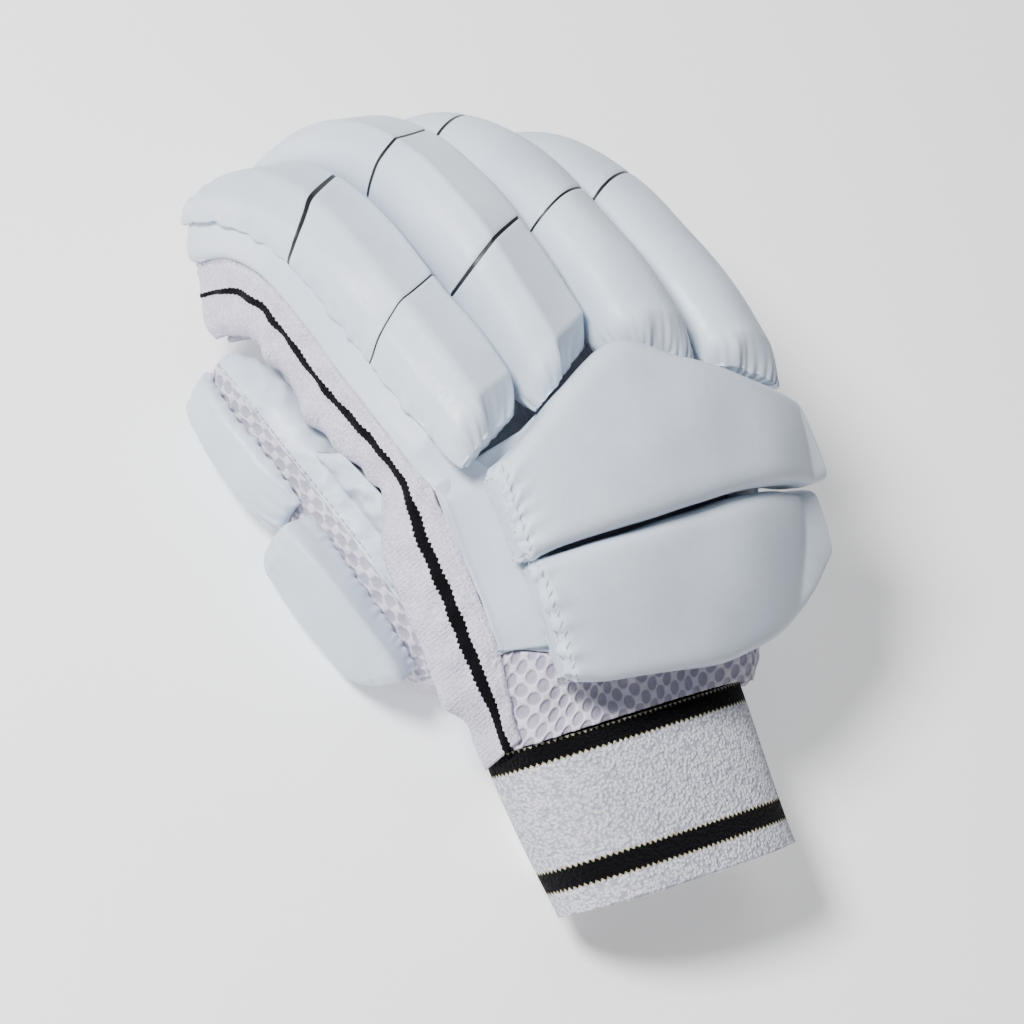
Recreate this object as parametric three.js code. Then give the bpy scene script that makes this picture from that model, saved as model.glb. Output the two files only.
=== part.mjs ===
import * as THREE from 'three';

// Right-hand cricket batting glove, resting palm down with curled fingers.
// Millimetres, +X to the little finger, +Y to the fingertips, +Z up.
const leatherWall = 1.8;
const clothWall = 2.2;
const knitWall = 2.6;
const strapWall = 3.2;
const pieceGap = 0.5;
const padLift = 1.4;
const fingerHalf = 15.6;
const fingerDeep = 13.4;
const gussetHalf = 12.6;
const tipReach = 11;
const cuffSkew = 0.12;
const cuffTilt = 0.36;
const pipingRadius = 1.2;

// Middle line of each finger from knuckle to tip. rise: roll crest above the
// line, under: roll bottom above it, left and right: half widths, tilt: lean.
const indexRows = [
  { x: -54.5, y: -63.6, z: 71.4, tilt: 4, rise: 39, under: 17.5, left: 18.4, right: 19.6 },
  { x: -55.5, y: -37.6, z: 69.4, tilt: 4, rise: 40, under: 13.6, left: 19, right: 20.7 },
  { x: -55.5, y: -12.6, z: 65.4, tilt: 4, rise: 40, under: 13.6, left: 19, right: 20.7 },
  { x: -55.5, y: 11.4, z: 62.9, tilt: 4, rise: 38, under: 13.6, left: 18.8, right: 21 },
  { x: -55.5, y: 28.4, z: 59.2, tilt: 4, rise: 36.5, under: 15, left: 18.6, right: 21.4 },
  { x: -55.5, y: 39, z: 51.6, tilt: 4, rise: 36, under: 17, left: 18, right: 20.8 },
  { x: -55.5, y: 44.8, z: 43, tilt: 4, rise: 35.6, under: 19.4, left: 17.4, right: 19 },
  { x: -55.5, y: 48.8, z: 34.6, tilt: 4, rise: 35, under: 20.6, left: 16.8, right: 17 },
];
const middleRows = [
  { x: -16, y: -48.4, z: 74, tilt: 2, rise: 40, under: 17.5, left: 17.6, right: 16.6 },
  { x: -16.5, y: -22, z: 77, tilt: 2, rise: 40, under: 13.2, left: 19, right: 16.8 },
  { x: -17, y: -3, z: 78, tilt: 2, rise: 40, under: 13.2, left: 19, right: 16.8 },
  { x: -17, y: 16, z: 75, tilt: 2, rise: 39.4, under: 13.2, left: 18.2, right: 16.6 },
  { x: -17, y: 34.5, z: 69, tilt: 2, rise: 37.6, under: 13.2, left: 18, right: 16.6 },
  { x: -17, y: 48.5, z: 60, tilt: 2, rise: 32, under: 13.2, left: 17.6, right: 16.6 },
  { x: -17, y: 58.5, z: 46.5, tilt: 2, rise: 28, under: 13.2, left: 17.2, right: 16.6 },
  { x: -17, y: 64, z: 30, tilt: 2, rise: 25, under: 13.2, left: 16.6, right: 16.4 },
  { x: -17, y: 66, z: 13.8, tilt: 2, rise: 23.5, under: 13.2, left: 16, right: 16 },
];
const ringRows = [
  { x: 16, y: -58.5, z: 79, tilt: -5, rise: 39, under: 17.5, left: 15.8, right: 16 },
  { x: 16.4, y: -34, z: 79, tilt: -5, rise: 40.5, under: 13.2, left: 16, right: 16.4 },
  { x: 16.6, y: -8, z: 75, tilt: -5, rise: 40.5, under: 13.2, left: 16, right: 16.4 },
  { x: 17, y: 13, z: 70, tilt: -5, rise: 39, under: 13.2, left: 16, right: 16.4 },
  { x: 17, y: 32, z: 62, tilt: -5, rise: 35.5, under: 13.2, left: 16, right: 16.2 },
  { x: 17, y: 44.5, z: 51, tilt: -5, rise: 31, under: 13.2, left: 16, right: 16 },
  { x: 16.6, y: 53, z: 37, tilt: -5, rise: 26.5, under: 13.2, left: 15.8, right: 15.8 },
  { x: 16, y: 57, z: 25, tilt: -5, rise: 24, under: 13.2, left: 15.6, right: 15.6 },
  { x: 16, y: 59, z: 13.8, tilt: -5, rise: 23, under: 13.2, left: 15, right: 15 },
];
const littleRows = [
  { x: 46.4, y: -74, z: 72, tilt: -12, rise: 37.5, under: 16.6, left: 14.6, right: 17.6 },
  { x: 48.2, y: -48, z: 72, tilt: -12, rise: 37.5, under: 13.2, left: 15.2, right: 18 },
  { x: 49.7, y: -20, z: 68.5, tilt: -12, rise: 36, under: 13.2, left: 15.2, right: 17.4 },
  { x: 50.6, y: 0, z: 64, tilt: -12, rise: 34.4, under: 13.2, left: 15.2, right: 17 },
  { x: 50.8, y: 17, z: 56, tilt: -12, rise: 32.6, under: 14.2, left: 15.2, right: 17 },
  { x: 50.4, y: 29, z: 45.5, tilt: -12, rise: 30.4, under: 15.2, left: 15.2, right: 16.8 },
  { x: 49.8, y: 37, z: 33, tilt: -12, rise: 28.5, under: 16.2, left: 15, right: 17 },
  { x: 49.2, y: 41, z: 22.5, tilt: -12, rise: 27, under: 17.2, left: 14.6, right: 16.2 },
  { x: 49.2, y: 43, z: 13.8, tilt: -12, rise: 26, under: 17.6, left: 14.4, right: 15.6 },
];
const fingers = [indexRows, middleRows, ringRows, littleRows];
const crotchY = [-8, -5, -6, -10];
const slitShare = 0.94;
const heelSlant = [0.3, 0.45, -0.5, -0.42];

// Roll section: across in half widths, high between underside and crest.
const gableSection = [
  { across: -0.74, high: 0 }, { across: -0.93, high: 0.12 }, { across: -1, high: 0.44 },
  { across: -0.94, high: 0.6 }, { across: -0.76, high: 0.82 }, { across: -0.46, high: 0.95 },
  { across: 0.04, high: 1.01 }, { across: 0.5, high: 0.86 }, { across: 0.86, high: 0.66 },
  { across: 0.99, high: 0.42 }, { across: 0.94, high: 0.14 }, { across: 0.74, high: 0 },
];
const sausageSection = [
  { across: -0.74, high: 0 }, { across: -0.92, high: 0.12 }, { across: -1, high: 0.38 },
  { across: -0.93, high: 0.64 }, { across: -0.7, high: 0.87 }, { across: -0.36, high: 0.98 },
  { across: 0.02, high: 1 }, { across: 0.4, high: 0.95 }, { across: 0.76, high: 0.78 },
  { across: 0.97, high: 0.46 }, { across: 0.93, high: 0.14 }, { across: 0.74, high: 0 },
];

// Roll ends: along in mm from the first or past the last row, size of the section.
const heelRows = [
  { along: 0, size: 0.72 }, { along: 3, size: 0.9 }, { along: 9, size: 1 },
];
const toeRows = [
  { along: 4, size: 0.97 }, { along: 8, size: 0.86 }, { along: 11.4, size: 0.66 },
  { along: 13, size: 0.34 },
];

// Back of the hand: edges and middle of the leather, power sets how square it is.
const backRows = [
  { y: -152, leftX: -70, leftZ: 43, rightX: 24, rightZ: 43, midZ: 55, power: 2 },
  { y: -131, leftX: -70, leftZ: 53.2, rightX: 37.5, rightZ: 55.2, midZ: 67, power: 2.6 },
  { y: -108, leftX: -70.5, leftZ: 64.4, rightX: 50.2, rightZ: 66.4, midZ: 79, power: 3.4 },
  { y: -82, leftX: -71, leftZ: 75, rightX: 60.4, rightZ: 78.2, midZ: 88, power: 2.8 },
  { y: -60, leftX: -71.6, leftZ: 84.6, rightX: 66, rightZ: 86.4, midZ: 92.4, power: 2.2 },
  { y: -40, leftX: -71.8, leftZ: 86, rightX: 67, rightZ: 87.4, midZ: 94, power: 2 },
];

// Front edge of the back leather across the hand, stepping round the rolls.
const leatherFrontRows = [
  { x: -80, y: -64 }, { x: -36, y: -60 }, { x: -29, y: -57.5 }, { x: -17, y: -53 },
  { x: -1, y: -53.5 }, { x: 16, y: -62 }, { x: 31, y: -69 }, { x: 46, y: -77 }, { x: 80, y: -80 },
];

// Pads: front and back edge at each place across the hand.
const knucklePadRows = [
  { x: -57, front: -68.5, back: -97, thick: 21 },
  { x: -44, front: -63.5, back: -99, thick: 24 },
  { x: -24, front: -56, back: -101, thick: 26 },
  { x: -3, front: -50, back: -102.5, thick: 27 },
  { x: 18, front: -61, back: -103.5, thick: 26 },
  { x: 40, front: -72.5, back: -104.5, thick: 24 },
  { x: 60, front: -80, back: -106, thick: 20 },
];
const wristPadRows = [
  { x: -56, front: -98.5, back: -133, thick: 19 },
  { x: -44, front: -100.5, back: -139, thick: 21 },
  { x: -24, front: -102.5, back: -144, thick: 21 },
  { x: -3, front: -104, back: -147, thick: 20 },
  { x: 18, front: -105, back: -144, thick: 20 },
  { x: 40, front: -106, back: -137, thick: 19 },
  { x: 57, front: -107.5, back: -128, thick: 16 },
];
const padSection = [
  { along: 0.06, high: 0 }, { along: 0, high: 0.22 }, { along: 0, high: 0.66 },
  { along: 0.05, high: 0.9 }, { along: 0.16, high: 1 }, { along: 0.5, high: 1.02 },
  { along: 0.84, high: 1 }, { along: 0.95, high: 0.9 }, { along: 1, high: 0.66 },
  { along: 1, high: 0.22 }, { along: 0.94, high: 0 }, { along: 0.5, high: 0 },
];

// Middle of the side wall over the thumb, cuff to index knuckle, and the same
// on the little-finger side, fingertip side first. lean: tilt of the wall.
const thumbSideRows = [
  { x: -71.4, y: -141, z: 35.5, lean: 20, half: 9 },
  { x: -72.2, y: -131, z: 40, lean: 14, half: 10.5 },
  { x: -72, y: -112, z: 48.2, lean: 6, half: 12.2 },
  { x: -71.4, y: -88, z: 57, lean: 2, half: 12.6 },
  { x: -70.6, y: -66, z: 63.2, lean: -2, half: 12.6 },
];
const littleSideRows = [
  { x: 63, y: -66, z: 68, lean: 6, half: 12.6 },
  { x: 59, y: -88, z: 61, lean: 0, half: 12.6 },
  { x: 51.5, y: -108, z: 52, lean: -6, half: 12.2 },
  { x: 40, y: -132, z: 42, lean: -14, half: 10.5 },
  { x: 29.5, y: -153, z: 34, lean: -20, half: 9 },
];

// Cuff: middle, half width, half height; the last column squares the oval.
const cuffRows = [
  { x: -34.6, y: -207, z: 26, wide: 45.2, high: 24.4 },
  { x: -33.4, y: -199.5, z: 26.2, wide: 45.6, high: 24.6 },
  { x: -30, y: -181.5, z: 26.6, wide: 47.2, high: 25 },
  { x: -25.8, y: -162, z: 27.2, wide: 48.6, high: 25.6 },
  { x: -22.8, y: -148, z: 28, wide: 49.2, high: 25.8 },
];

// Thumb: middle line, half width, half depth, turn of its back from straight up.
const thumbRows = [
  { x: -58, y: -109, z: 15.6, wide: 4.6, deep: 4, turn: 100 },
  { x: -60.6, y: -101, z: 14.4, wide: 12.2, deep: 12, turn: 100 },
  { x: -64, y: -88, z: 20.6, wide: 17.4, deep: 15, turn: 100 },
  { x: -68, y: -68, z: 24, wide: 18, deep: 14.6, turn: 101 },
  { x: -70, y: -43, z: 26, wide: 16.5, deep: 13.5, turn: 106 },
  { x: -72, y: -16, z: 25.6, wide: 15.4, deep: 13, turn: 109 },
  { x: -74, y: 8, z: 24.6, wide: 14, deep: 11.6, turn: 110 },
  { x: -75.6, y: 21.4, z: 23, wide: 10, deep: 8, turn: 110 },
  { x: -76.2, y: 26.4, z: 22.4, wide: 5, deep: 4, turn: 110 },
];

const clamp = (value, low, high) => Math.min(Math.max(value, low), high);
const mix = (a, b, t) => a + (b - a) * t;

// Smooth value of every column at row position t.
function sample(rows, t) {
  const last = rows.length - 1;
  const i = clamp(Math.floor(t), 0, last - 1);
  const f = t - i;
  const out = {};
  for (const key of Object.keys(rows[0])) {
    const p = [i - 1, i, i + 1, i + 2].map((k) => rows[clamp(k, 0, last)][key]);
    const bend = 2 * p[0] - 5 * p[1] + 4 * p[2] - p[3];
    const twist = -p[0] + 3 * p[1] - 3 * p[2] + p[3];
    out[key] = 0.5 * (2 * p[1] + (p[2] - p[0]) * f + bend * f * f + twist * f * f * f);
  }
  return out;
}

// Row position at which a column reaches a value.
function findRow(rows, key, value) {
  const last = rows.length - 1;
  const rising = rows[last][key] > rows[0][key];
  let low = 0;
  let high = last;
  for (let k = 0; k < 30; k += 1) {
    const mid = (low + high) / 2;
    if (sample(rows, mid)[key] < value === rising) low = mid;
    else high = mid;
  }
  return (low + high) / 2;
}

const crotchRow = fingers.map((rows, f) => findRow(rows, 'y', crotchY[f]));

function place(row) {
  return new THREE.Vector3(row.x, row.y, row.z);
}

// Middle, forward, sideways and upward directions of a finger at row position t.
function fingerFrame(rows, t) {
  const last = rows.length - 1;
  const row = sample(rows, clamp(t, 0, last));
  const before = place(sample(rows, Math.max(t - 0.1, 0)));
  const after = place(sample(rows, Math.min(t + 0.1, last)));
  const forward = after.sub(before).normalize();
  const lean = THREE.MathUtils.degToRad(row.tilt);
  const side = new THREE.Vector3(Math.cos(lean), 0, Math.sin(lean));
  side.addScaledVector(forward, -side.dot(forward)).normalize();
  const up = new THREE.Vector3().crossVectors(side, forward);
  return { row, middle: place(row), forward, side, up };
}

function fromFrame(frame, across, high, along = 0) {
  return frame.middle.clone()
    .addScaledVector(frame.side, across)
    .addScaledVector(frame.up, high)
    .addScaledVector(frame.forward, along);
}

function solidMesh(name, points, faces, material) {
  let volume = 0;
  const cross = new THREE.Vector3();
  for (const [a, b, c] of faces) {
    volume += cross.crossVectors(points[b], points[c]).dot(points[a]);
  }
  const index = volume > 0 ? faces.flat() : faces.flatMap(([a, b, c]) => [a, c, b]);
  const geometry = new THREE.BufferGeometry();
  const flat = points.flatMap((p) => [p.x, p.y, p.z]);
  geometry.setAttribute('position', new THREE.Float32BufferAttribute(flat, 3));
  geometry.setIndex(index);
  geometry.computeVertexNormals();
  const mesh = new THREE.Mesh(geometry, material);
  mesh.name = name;
  return mesh;
}

// Filled body through rings of equal count, a fan closes each end.
function ringSolid(name, rings, material) {
  const count = rings[0].length;
  const points = rings.flat();
  const faces = [];
  for (let i = 0; i < rings.length - 1; i += 1) {
    for (let j = 0; j < count; j += 1) {
      const a = i * count + j;
      const b = i * count + (j + 1) % count;
      faces.push([a, b, b + count], [a, b + count, a + count]);
    }
  }
  for (const [ring, start, flip] of [[rings[0], 0, true], [rings.at(-1), points.length - count, false]]) {
    const middle = new THREE.Vector3();
    ring.forEach((p) => middle.addScaledVector(p, 1 / count));
    const centre = points.push(middle) - 1;
    for (let j = 0; j < count; j += 1) {
      const a = start + j;
      const b = start + (j + 1) % count;
      faces.push(flip ? [centre, b, a] : [centre, a, b]);
    }
  }
  return solidMesh(name, points, faces, material);
}

// Wall of even thickness about a grid of points; null points are cut away,
// keep says which squares are there, looped joins the last column to the first.
function sheetSolid(name, grid, wall, material, { looped = false, keep = () => true } = {}) {
  const rows = grid.length;
  const columns = grid[0].length;
  const squares = [];
  for (let i = 0; i < rows - 1; i += 1) {
    for (let j = 0; j < (looped ? columns : columns - 1); j += 1) {
      const k = (j + 1) % columns;
      const corners = [[i, j], [i, k], [i + 1, k], [i + 1, j]];
      if (keep(i, j) && corners.every(([r, c]) => grid[r][c])) squares.push(corners);
    }
  }
  const key = ([r, c]) => r * columns + c;
  const normals = new Map();
  for (const corners of squares) {
    const [a, b, c, d] = corners.map(([r, q]) => grid[r][q]);
    const normal = new THREE.Vector3().crossVectors(c.clone().sub(a), d.clone().sub(b));
    normal.normalize();
    for (const corner of corners) {
      const at = key(corner);
      normals.set(at, (normals.get(at) ?? new THREE.Vector3()).add(normal));
    }
  }
  const points = [];
  const front = new Map();
  const back = new Map();
  for (const [at, normal] of normals) {
    normal.normalize();
    const point = grid[Math.floor(at / columns)][at % columns];
    front.set(at, points.push(point.clone().addScaledVector(normal, wall / 2)) - 1);
    back.set(at, points.push(point.clone().addScaledVector(normal, -wall / 2)) - 1);
  }
  const faces = [];
  const edges = new Map();
  for (const corners of squares) {
    const keys = corners.map(key);
    const [a, b, c, d] = keys.map((k) => front.get(k));
    const [e, f, g, h] = keys.map((k) => back.get(k));
    faces.push([a, b, c], [a, c, d], [e, g, f], [e, h, g]);
    keys.forEach((k, n) => {
      const next = keys[(n + 1) % 4];
      if (edges.has(`${next}_${k}`)) edges.delete(`${next}_${k}`);
      else edges.set(`${k}_${next}`, [k, next]);
    });
  }
  for (const [k, next] of edges.values()) {
    faces.push([front.get(k), back.get(k), back.get(next)]);
    faces.push([front.get(k), back.get(next), front.get(next)]);
  }
  return solidMesh(name, points, faces, material);
}

function clothMaterial(colour, roughness) {
  return new THREE.MeshStandardMaterial({ color: colour, roughness, metalness: 0 });
}
const whiteLeather = () => clothMaterial(0xe6ebf0, 0.5);
const towelling = () => clothMaterial(0xe4e0ee, 0.95);
const mesh = () => clothMaterial(0xdedbe6, 0.9);
const knit = () => clothMaterial(0xf0f0f4, 0.95);
const strapPlastic = () => clothMaterial(0xe8e8e6, 0.55);

// One finger roll: its section carried along the finger, blunt at the knuckle,
// wrapped over the tip.
function fingerRoll(name, rows, section, { outer = 0, toe = 1, slant = 0 }) {
  const last = rows.length - 1;
  const rings = [];
  const ring = (frame, along, size, skew = 0) => section.map(({ across, high }) => {
    const { row } = frame;
    const tall = row.rise - row.under;
    const raised = across * outer > 0.5 && high < 0.3;
    const level = raised ? mix(0.36, 0.08, clamp((0.93 - Math.abs(across)) / 0.3, 0, 1)) : high;
    const half = (across < 0 ? row.left : row.right) * (raised ? 0.88 : 1);
    const up = row.under + tall * mix(0.4, level, size) * mix(0.9, 1, size);
    const out = across * half * mix(0.55, 1, size);
    return fromFrame(frame, out, up, along + skew * out);
  });
  const first = fingerFrame(rows, 0);
  heelRows.forEach(({ along, size }) => rings.push(ring(first, along, size, slant * (1 - along / 26))));
  const steps = (last - 0.5) * 2;
  for (let k = 0; k <= steps; k += 1) {
    const t = mix(0.75, last, k / steps);
    rings.push(ring(fingerFrame(rows, t), 0, 1, slant * Math.max(0, 0.6 - t / 3)));
  }
  const end = fingerFrame(rows, last);
  toeRows.forEach(({ along, size }) => rings.push(ring(end, along * toe, size)));
  return ringSolid(name, rings, whiteLeather());
}

// Height of the back leather over the hand at row position t, place s across.
function backPoint(t, s) {
  const row = sample(backRows, t);
  const across = 2 * s - 1;
  const edge = mix(row.leftZ, row.rightZ, s);
  const swell = 1 - Math.abs(across) ** row.power;
  return new THREE.Vector3(mix(row.leftX, row.rightX, s), row.y, edge + (row.midZ - edge) * swell);
}

function backAt(x, y) {
  const t = findRow(backRows, 'y', y);
  const row = sample(backRows, t);
  const s = clamp((x - row.leftX) / (row.rightX - row.leftX), 0.02, 0.98);
  const point = backPoint(t, s);
  const ahead = backPoint(Math.min(t + 0.1, backRows.length - 1), s);
  const behind = backPoint(Math.max(t - 0.1, 0), s);
  const left = backPoint(t, Math.max(s - 0.04, 0));
  const right = backPoint(t, Math.min(s + 0.04, 1));
  const normal = new THREE.Vector3().crossVectors(right.sub(left), ahead.sub(behind)).normalize();
  point.x = x;
  return { point, normal };
}

// A stuffed pad lying across the back of the hand, with full rounded ends.
function handPad(name, rows) {
  const last = rows.length - 1;
  const ends = [
    { t: 0, size: 0.3 }, { t: 0.12, size: 0.68 }, { t: 0.4, size: 0.93 }, { t: 0.8, size: 1 },
  ];
  const stops = [...ends];
  for (let t = 1.5; t < last - 1; t += 0.75) stops.push({ t, size: 1 });
  ends.slice().reverse().forEach(({ t, size }) => stops.push({ t: last - t, size }));
  const rings = stops.map(({ t, size }) => {
    const row = sample(rows, t);
    return padSection.map(({ along, high }) => {
      const fraction = mix(0.5, along, mix(0.8, 1, size));
      const y = mix(row.front, row.back, fraction);
      const { point, normal } = backAt(row.x, y);
      const lift = leatherWall / 2 + padLift + row.thick * mix(0.3, high, size);
      return point.addScaledVector(normal, lift);
    });
  });
  return ringSolid(name, rings, whiteLeather());
}

const fingerColumns = 5;

// Palm leather: one sheet from the cuff to four finger fronts that part at the
// crotches.
function palmLeather() {
  const across = [-1, -0.55, 0, 0.55, 1];
  const frontPoint = (rows, t, u, tip = 0, along = 0) => {
    const frame = fingerFrame(rows, t);
    const dip = 1.6 * (1 - u * u) * (1 - tip ** 5);
    return fromFrame(frame, u * fingerHalf, -fingerDeep - pieceGap - leatherWall / 2 - dip, along);
  };
  const crotch = fingers.flatMap((rows, f) => across.map((u) => frontPoint(rows, crotchRow[f], u)));
  const count = crotch.length;
  const top = sample(cuffRows, cuffRows.length - 1);
  const wrist = crotch.map((_, c) => {
    const point = ovalPoint(top, Math.PI * mix(1.06, 1.94, c / (count - 1)), -knitWall / 2);
    point.y += pieceGap * 2.4;
    return point;
  });
  const grid = [];
  const handStops = [0, 0.11, 0.22, 0.33, 0.44, 0.56, 0.67, 0.78, 0.88, slitShare];
  for (const w of handStops) {
    grid.push(crotch.map((end, c) => {
      const s = c / (count - 1);
      const side = 2 * s - 1;
      const point = wrist[c].clone().lerp(end, w);
      point.z += 17 * Math.sin(Math.PI * w) * (1 - side * side);
      const rail = s < 0.5 ? thumbSideRows : littleSideRows;
      const edge = sample(rail, findRow(rail, 'y', point.y));
      const pull = Math.abs(side) ** 3 * Math.min(1, Math.sin(Math.PI * w) * 1.6);
      point.x = mix(point.x, edge.x, pull);
      point.z = mix(point.z, edge.z - edge.half - 2.2, pull);
      return point;
    }));
  }
  grid.push(crotch);
  const tipSteps = 9;
  for (let k = 1; k <= tipSteps; k += 1) {
    grid.push(fingers.flatMap((rows, f) => across.map((u) => {
      const w = k / tipSteps;
      return frontPoint(rows, mix(crotchRow[f], rows.length - 1, w), u, w);
    })));
  }
  grid.push(fingers.flatMap((rows) => across.map((u) => {
    return frontPoint(rows, rows.length - 1, u, 1, tipReach * 0.95 * Math.sqrt(1 - u * u * 0.96));
  })));
  const slit = handStops.length - 1;
  const thumbHole = (i, j) => i >= 2 && i < 5 && j >= 1 && j < 4;
  const keep = (i, j) => !thumbHole(i, j) && (i < slit || j % fingerColumns !== fingerColumns - 1);
  return sheetSolid('palm_leather', grid, leatherWall, whiteLeather(), { keep });
}

// Back leather over the hand, with a narrow strip running on along the outer
// side of the index and of the little finger.
function backLeather() {
  const last = backRows.length - 1;
  const frontAt = (x) => {
    const k = leatherFrontRows.findIndex((row) => row.x > x);
    const [from, to] = leatherFrontRows.slice(k - 1, k + 1);
    return mix(from.y, to.y, (x - from.x) / (to.x - from.x));
  };
  const places = [0, 0.02, 0.045, 0.1, 0.19, 0.28, 0.37, 0.46, 0.54, 0.63, 0.72, 0.81, 0.9, 0.955, 0.98, 1];
  const columns = places.length;
  const steps = 8;
  const start = findRow(backRows, 'y', -130);
  const grid = [];
  for (let i = 0; i <= steps; i += 1) {
    const line = [];
    for (let j = 0; j < columns; j += 1) {
      const s = places[j];
      const edge = sample(backRows, last - 1.4);
      const stop = findRow(backRows, 'y', frontAt(mix(edge.leftX, edge.rightX, s)));
      line.push(backPoint(mix(start, stop, i / steps), s));
    }
    grid.push(line);
  }
  const strip = [
    { across: 0.93, high: 14.1 }, { across: 1, high: 16.8 }, { across: 0.92, high: 19.4 },
  ];
  const tipSteps = 12;
  for (let k = 1; k <= tipSteps; k += 1) {
    const line = new Array(columns).fill(null);
    const t = (k - 0.4) / (tipSteps - 0.4);
    strip.forEach(({ across, high }, j) => {
      const wide = fingerHalf + 1.6;
      const indexAt = fingerFrame(indexRows, t * (indexRows.length - 1));
      const littleAt = fingerFrame(littleRows, t * (littleRows.length - 1));
      line[j] = fromFrame(indexAt, -across * wide, high);
      line[columns - 1 - j] = fromFrame(littleAt, across * wide, high);
    });
    grid.push(line);
  }
  const indexTip = fingerFrame(indexRows, indexRows.length - 1);
  for (const turn of [35, 70, 105]) {
    const a = THREE.MathUtils.degToRad(turn);
    const line = new Array(columns).fill(null);
    strip.forEach(({ across, high }, j) => {
      const wide = across * (fingerHalf + 1.6);
      const shrink = mix(high, 16, 0.6);
      line[j] = fromFrame(indexTip, -wide * Math.cos(a), shrink, across * tipReach * Math.sin(a));
    });
    grid.push(line);
  }
  return sheetSolid('back_leather', grid, leatherWall, whiteLeather());
}

// Side wall: from the cuff along the index, round every fingertip and back
// down the little finger's side.
function sideGusset() {
  const stations = [];
  const rail = (rows, steps) => {
    for (let k = 0; k < steps; k += 1) {
      const row = sample(rows, mix(0, rows.length - 1, k / (steps - 1)));
      const lean = THREE.MathUtils.degToRad(row.lean);
      const up = new THREE.Vector3(Math.sin(lean), 0, Math.cos(lean));
      stations.push({ at: place(row), up, half: row.half });
    }
  };
  const wall = fingerHalf - clothWall / 2;
  rail(thumbSideRows, 7);
  fingers.forEach((rows, f) => {
    const last = rows.length - 1;
    const startLeft = f === 0 ? 0.35 : crotchRow[f];
    const startRight = f === 3 ? 0.35 : crotchRow[f];
    const steps = 9;
    for (let k = 0; k <= steps; k += 1) {
      const frame = fingerFrame(rows, mix(startLeft, last, k / steps));
      stations.push({ at: fromFrame(frame, -wall, 0), up: frame.up, half: gussetHalf });
    }
    const tip = fingerFrame(rows, last);
    for (const turn of [40, 90, 140]) {
      const a = THREE.MathUtils.degToRad(turn);
      const at = fromFrame(tip, -wall * Math.cos(a), 0, (tipReach - 1.2) * Math.sin(a));
      stations.push({ at, up: tip.up, half: gussetHalf });
    }
    for (let k = steps; k >= 0; k -= 1) {
      const frame = fingerFrame(rows, mix(startRight, last, k / steps));
      stations.push({ at: fromFrame(frame, wall, 0), up: frame.up, half: gussetHalf });
    }
    if (f < 3) {
      const next = fingerFrame(fingers[f + 1], crotchRow[f + 1]);
      const here = stations.at(-1);
      const there = fromFrame(next, -wall, 0);
      const at = here.at.clone().lerp(there, 0.5);
      at.y -= 2;
      const up = here.up.clone().add(next.up).normalize();
      stations.push({ at, up, half: gussetHalf - 3.4 });
    }
  });
  rail(littleSideRows, 7);
  const grid = stations.map(({ at, up, half }) => [-1, 0, 1].map((v) => {
    return at.clone().addScaledVector(up, v * half);
  }));
  return sheetSolid('side_gusset', grid, clothWall, towelling());
}

function ovalPoint(row, angle, swell) {
  const c = Math.cos(angle);
  const s = Math.sin(angle);
  const square = 2 / 2.3;
  const x = row.x + (row.wide + swell) * Math.sign(c) * Math.abs(c) ** square;
  const z = row.z + (row.high + swell) * Math.sign(s) * Math.abs(s) ** square;
  const y = row.y - cuffSkew * (x - row.x) - cuffTilt * (z - row.z);
  return new THREE.Vector3(x, y, z);
}

const strapSeat = strapWall + pieceGap;

function cuff() {
  const count = 28;
  const grid = [];
  for (let i = 0; i <= 6; i += 1) {
    const row = sample(cuffRows, mix(0, cuffRows.length - 1, i / 6));
    grid.push(Array.from({ length: count }, (_, j) => {
      const point = ovalPoint(row, 2 * Math.PI * j / count, -knitWall / 2);
      point.z = Math.max(point.z, strapSeat + knitWall / 2);
      return point;
    }));
  }
  return sheetSolid('cuff', grid, knitWall, knit(), { looped: true });
}

// Closing strap under the cuff: square at the little-finger edge, pointed at
// the thumb edge.
function wristStrap() {
  const steps = 16;
  const grid = [];
  for (let i = 0; i <= steps; i += 1) {
    const angle = THREE.MathUtils.degToRad(mix(-14, -134, i / steps));
    const past = Math.max(0, (i - (steps - 3)) / 3);
    const half = mix(25.5, 9, past);
    grid.push([-1, -0.4, 0.4, 1].map((v) => {
      const y = -179 + v * half;
      const row = sample(cuffRows, findRow(cuffRows, 'y', y));
      const point = ovalPoint({ ...row, y }, angle, pieceGap * 1.8 + strapWall / 2);
      point.z = Math.max(point.z, strapWall / 2);
      return point;
    }));
  }
  return sheetSolid('wrist_strap', grid, strapWall, strapPlastic());
}

// Mesh on the back between the cuff and the back leather, bulging a little.
function meshBand() {
  const top = sample(cuffRows, cuffRows.length - 1);
  const start = findRow(backRows, 'y', -131);
  const columns = 16;
  const steps = 5;
  const grid = [];
  for (let i = 0; i <= steps; i += 1) {
    const w = i / steps;
    grid.push(Array.from({ length: columns }, (_, j) => {
      const s = mix(0.03, 0.97, j / (columns - 1));
      const low = ovalPoint(top, Math.PI * mix(0.835, 0.165, s), -clothWall / 2);
      low.y += pieceGap * 3;
      const high = backPoint(start, s);
      const point = low.lerp(high, w);
      point.z -= 1.6 * Math.sin(Math.PI * w) * Math.sin(Math.PI * s);
      return point;
    }));
  }
  return sheetSolid('mesh_band', grid, clothWall, mesh());
}

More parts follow.
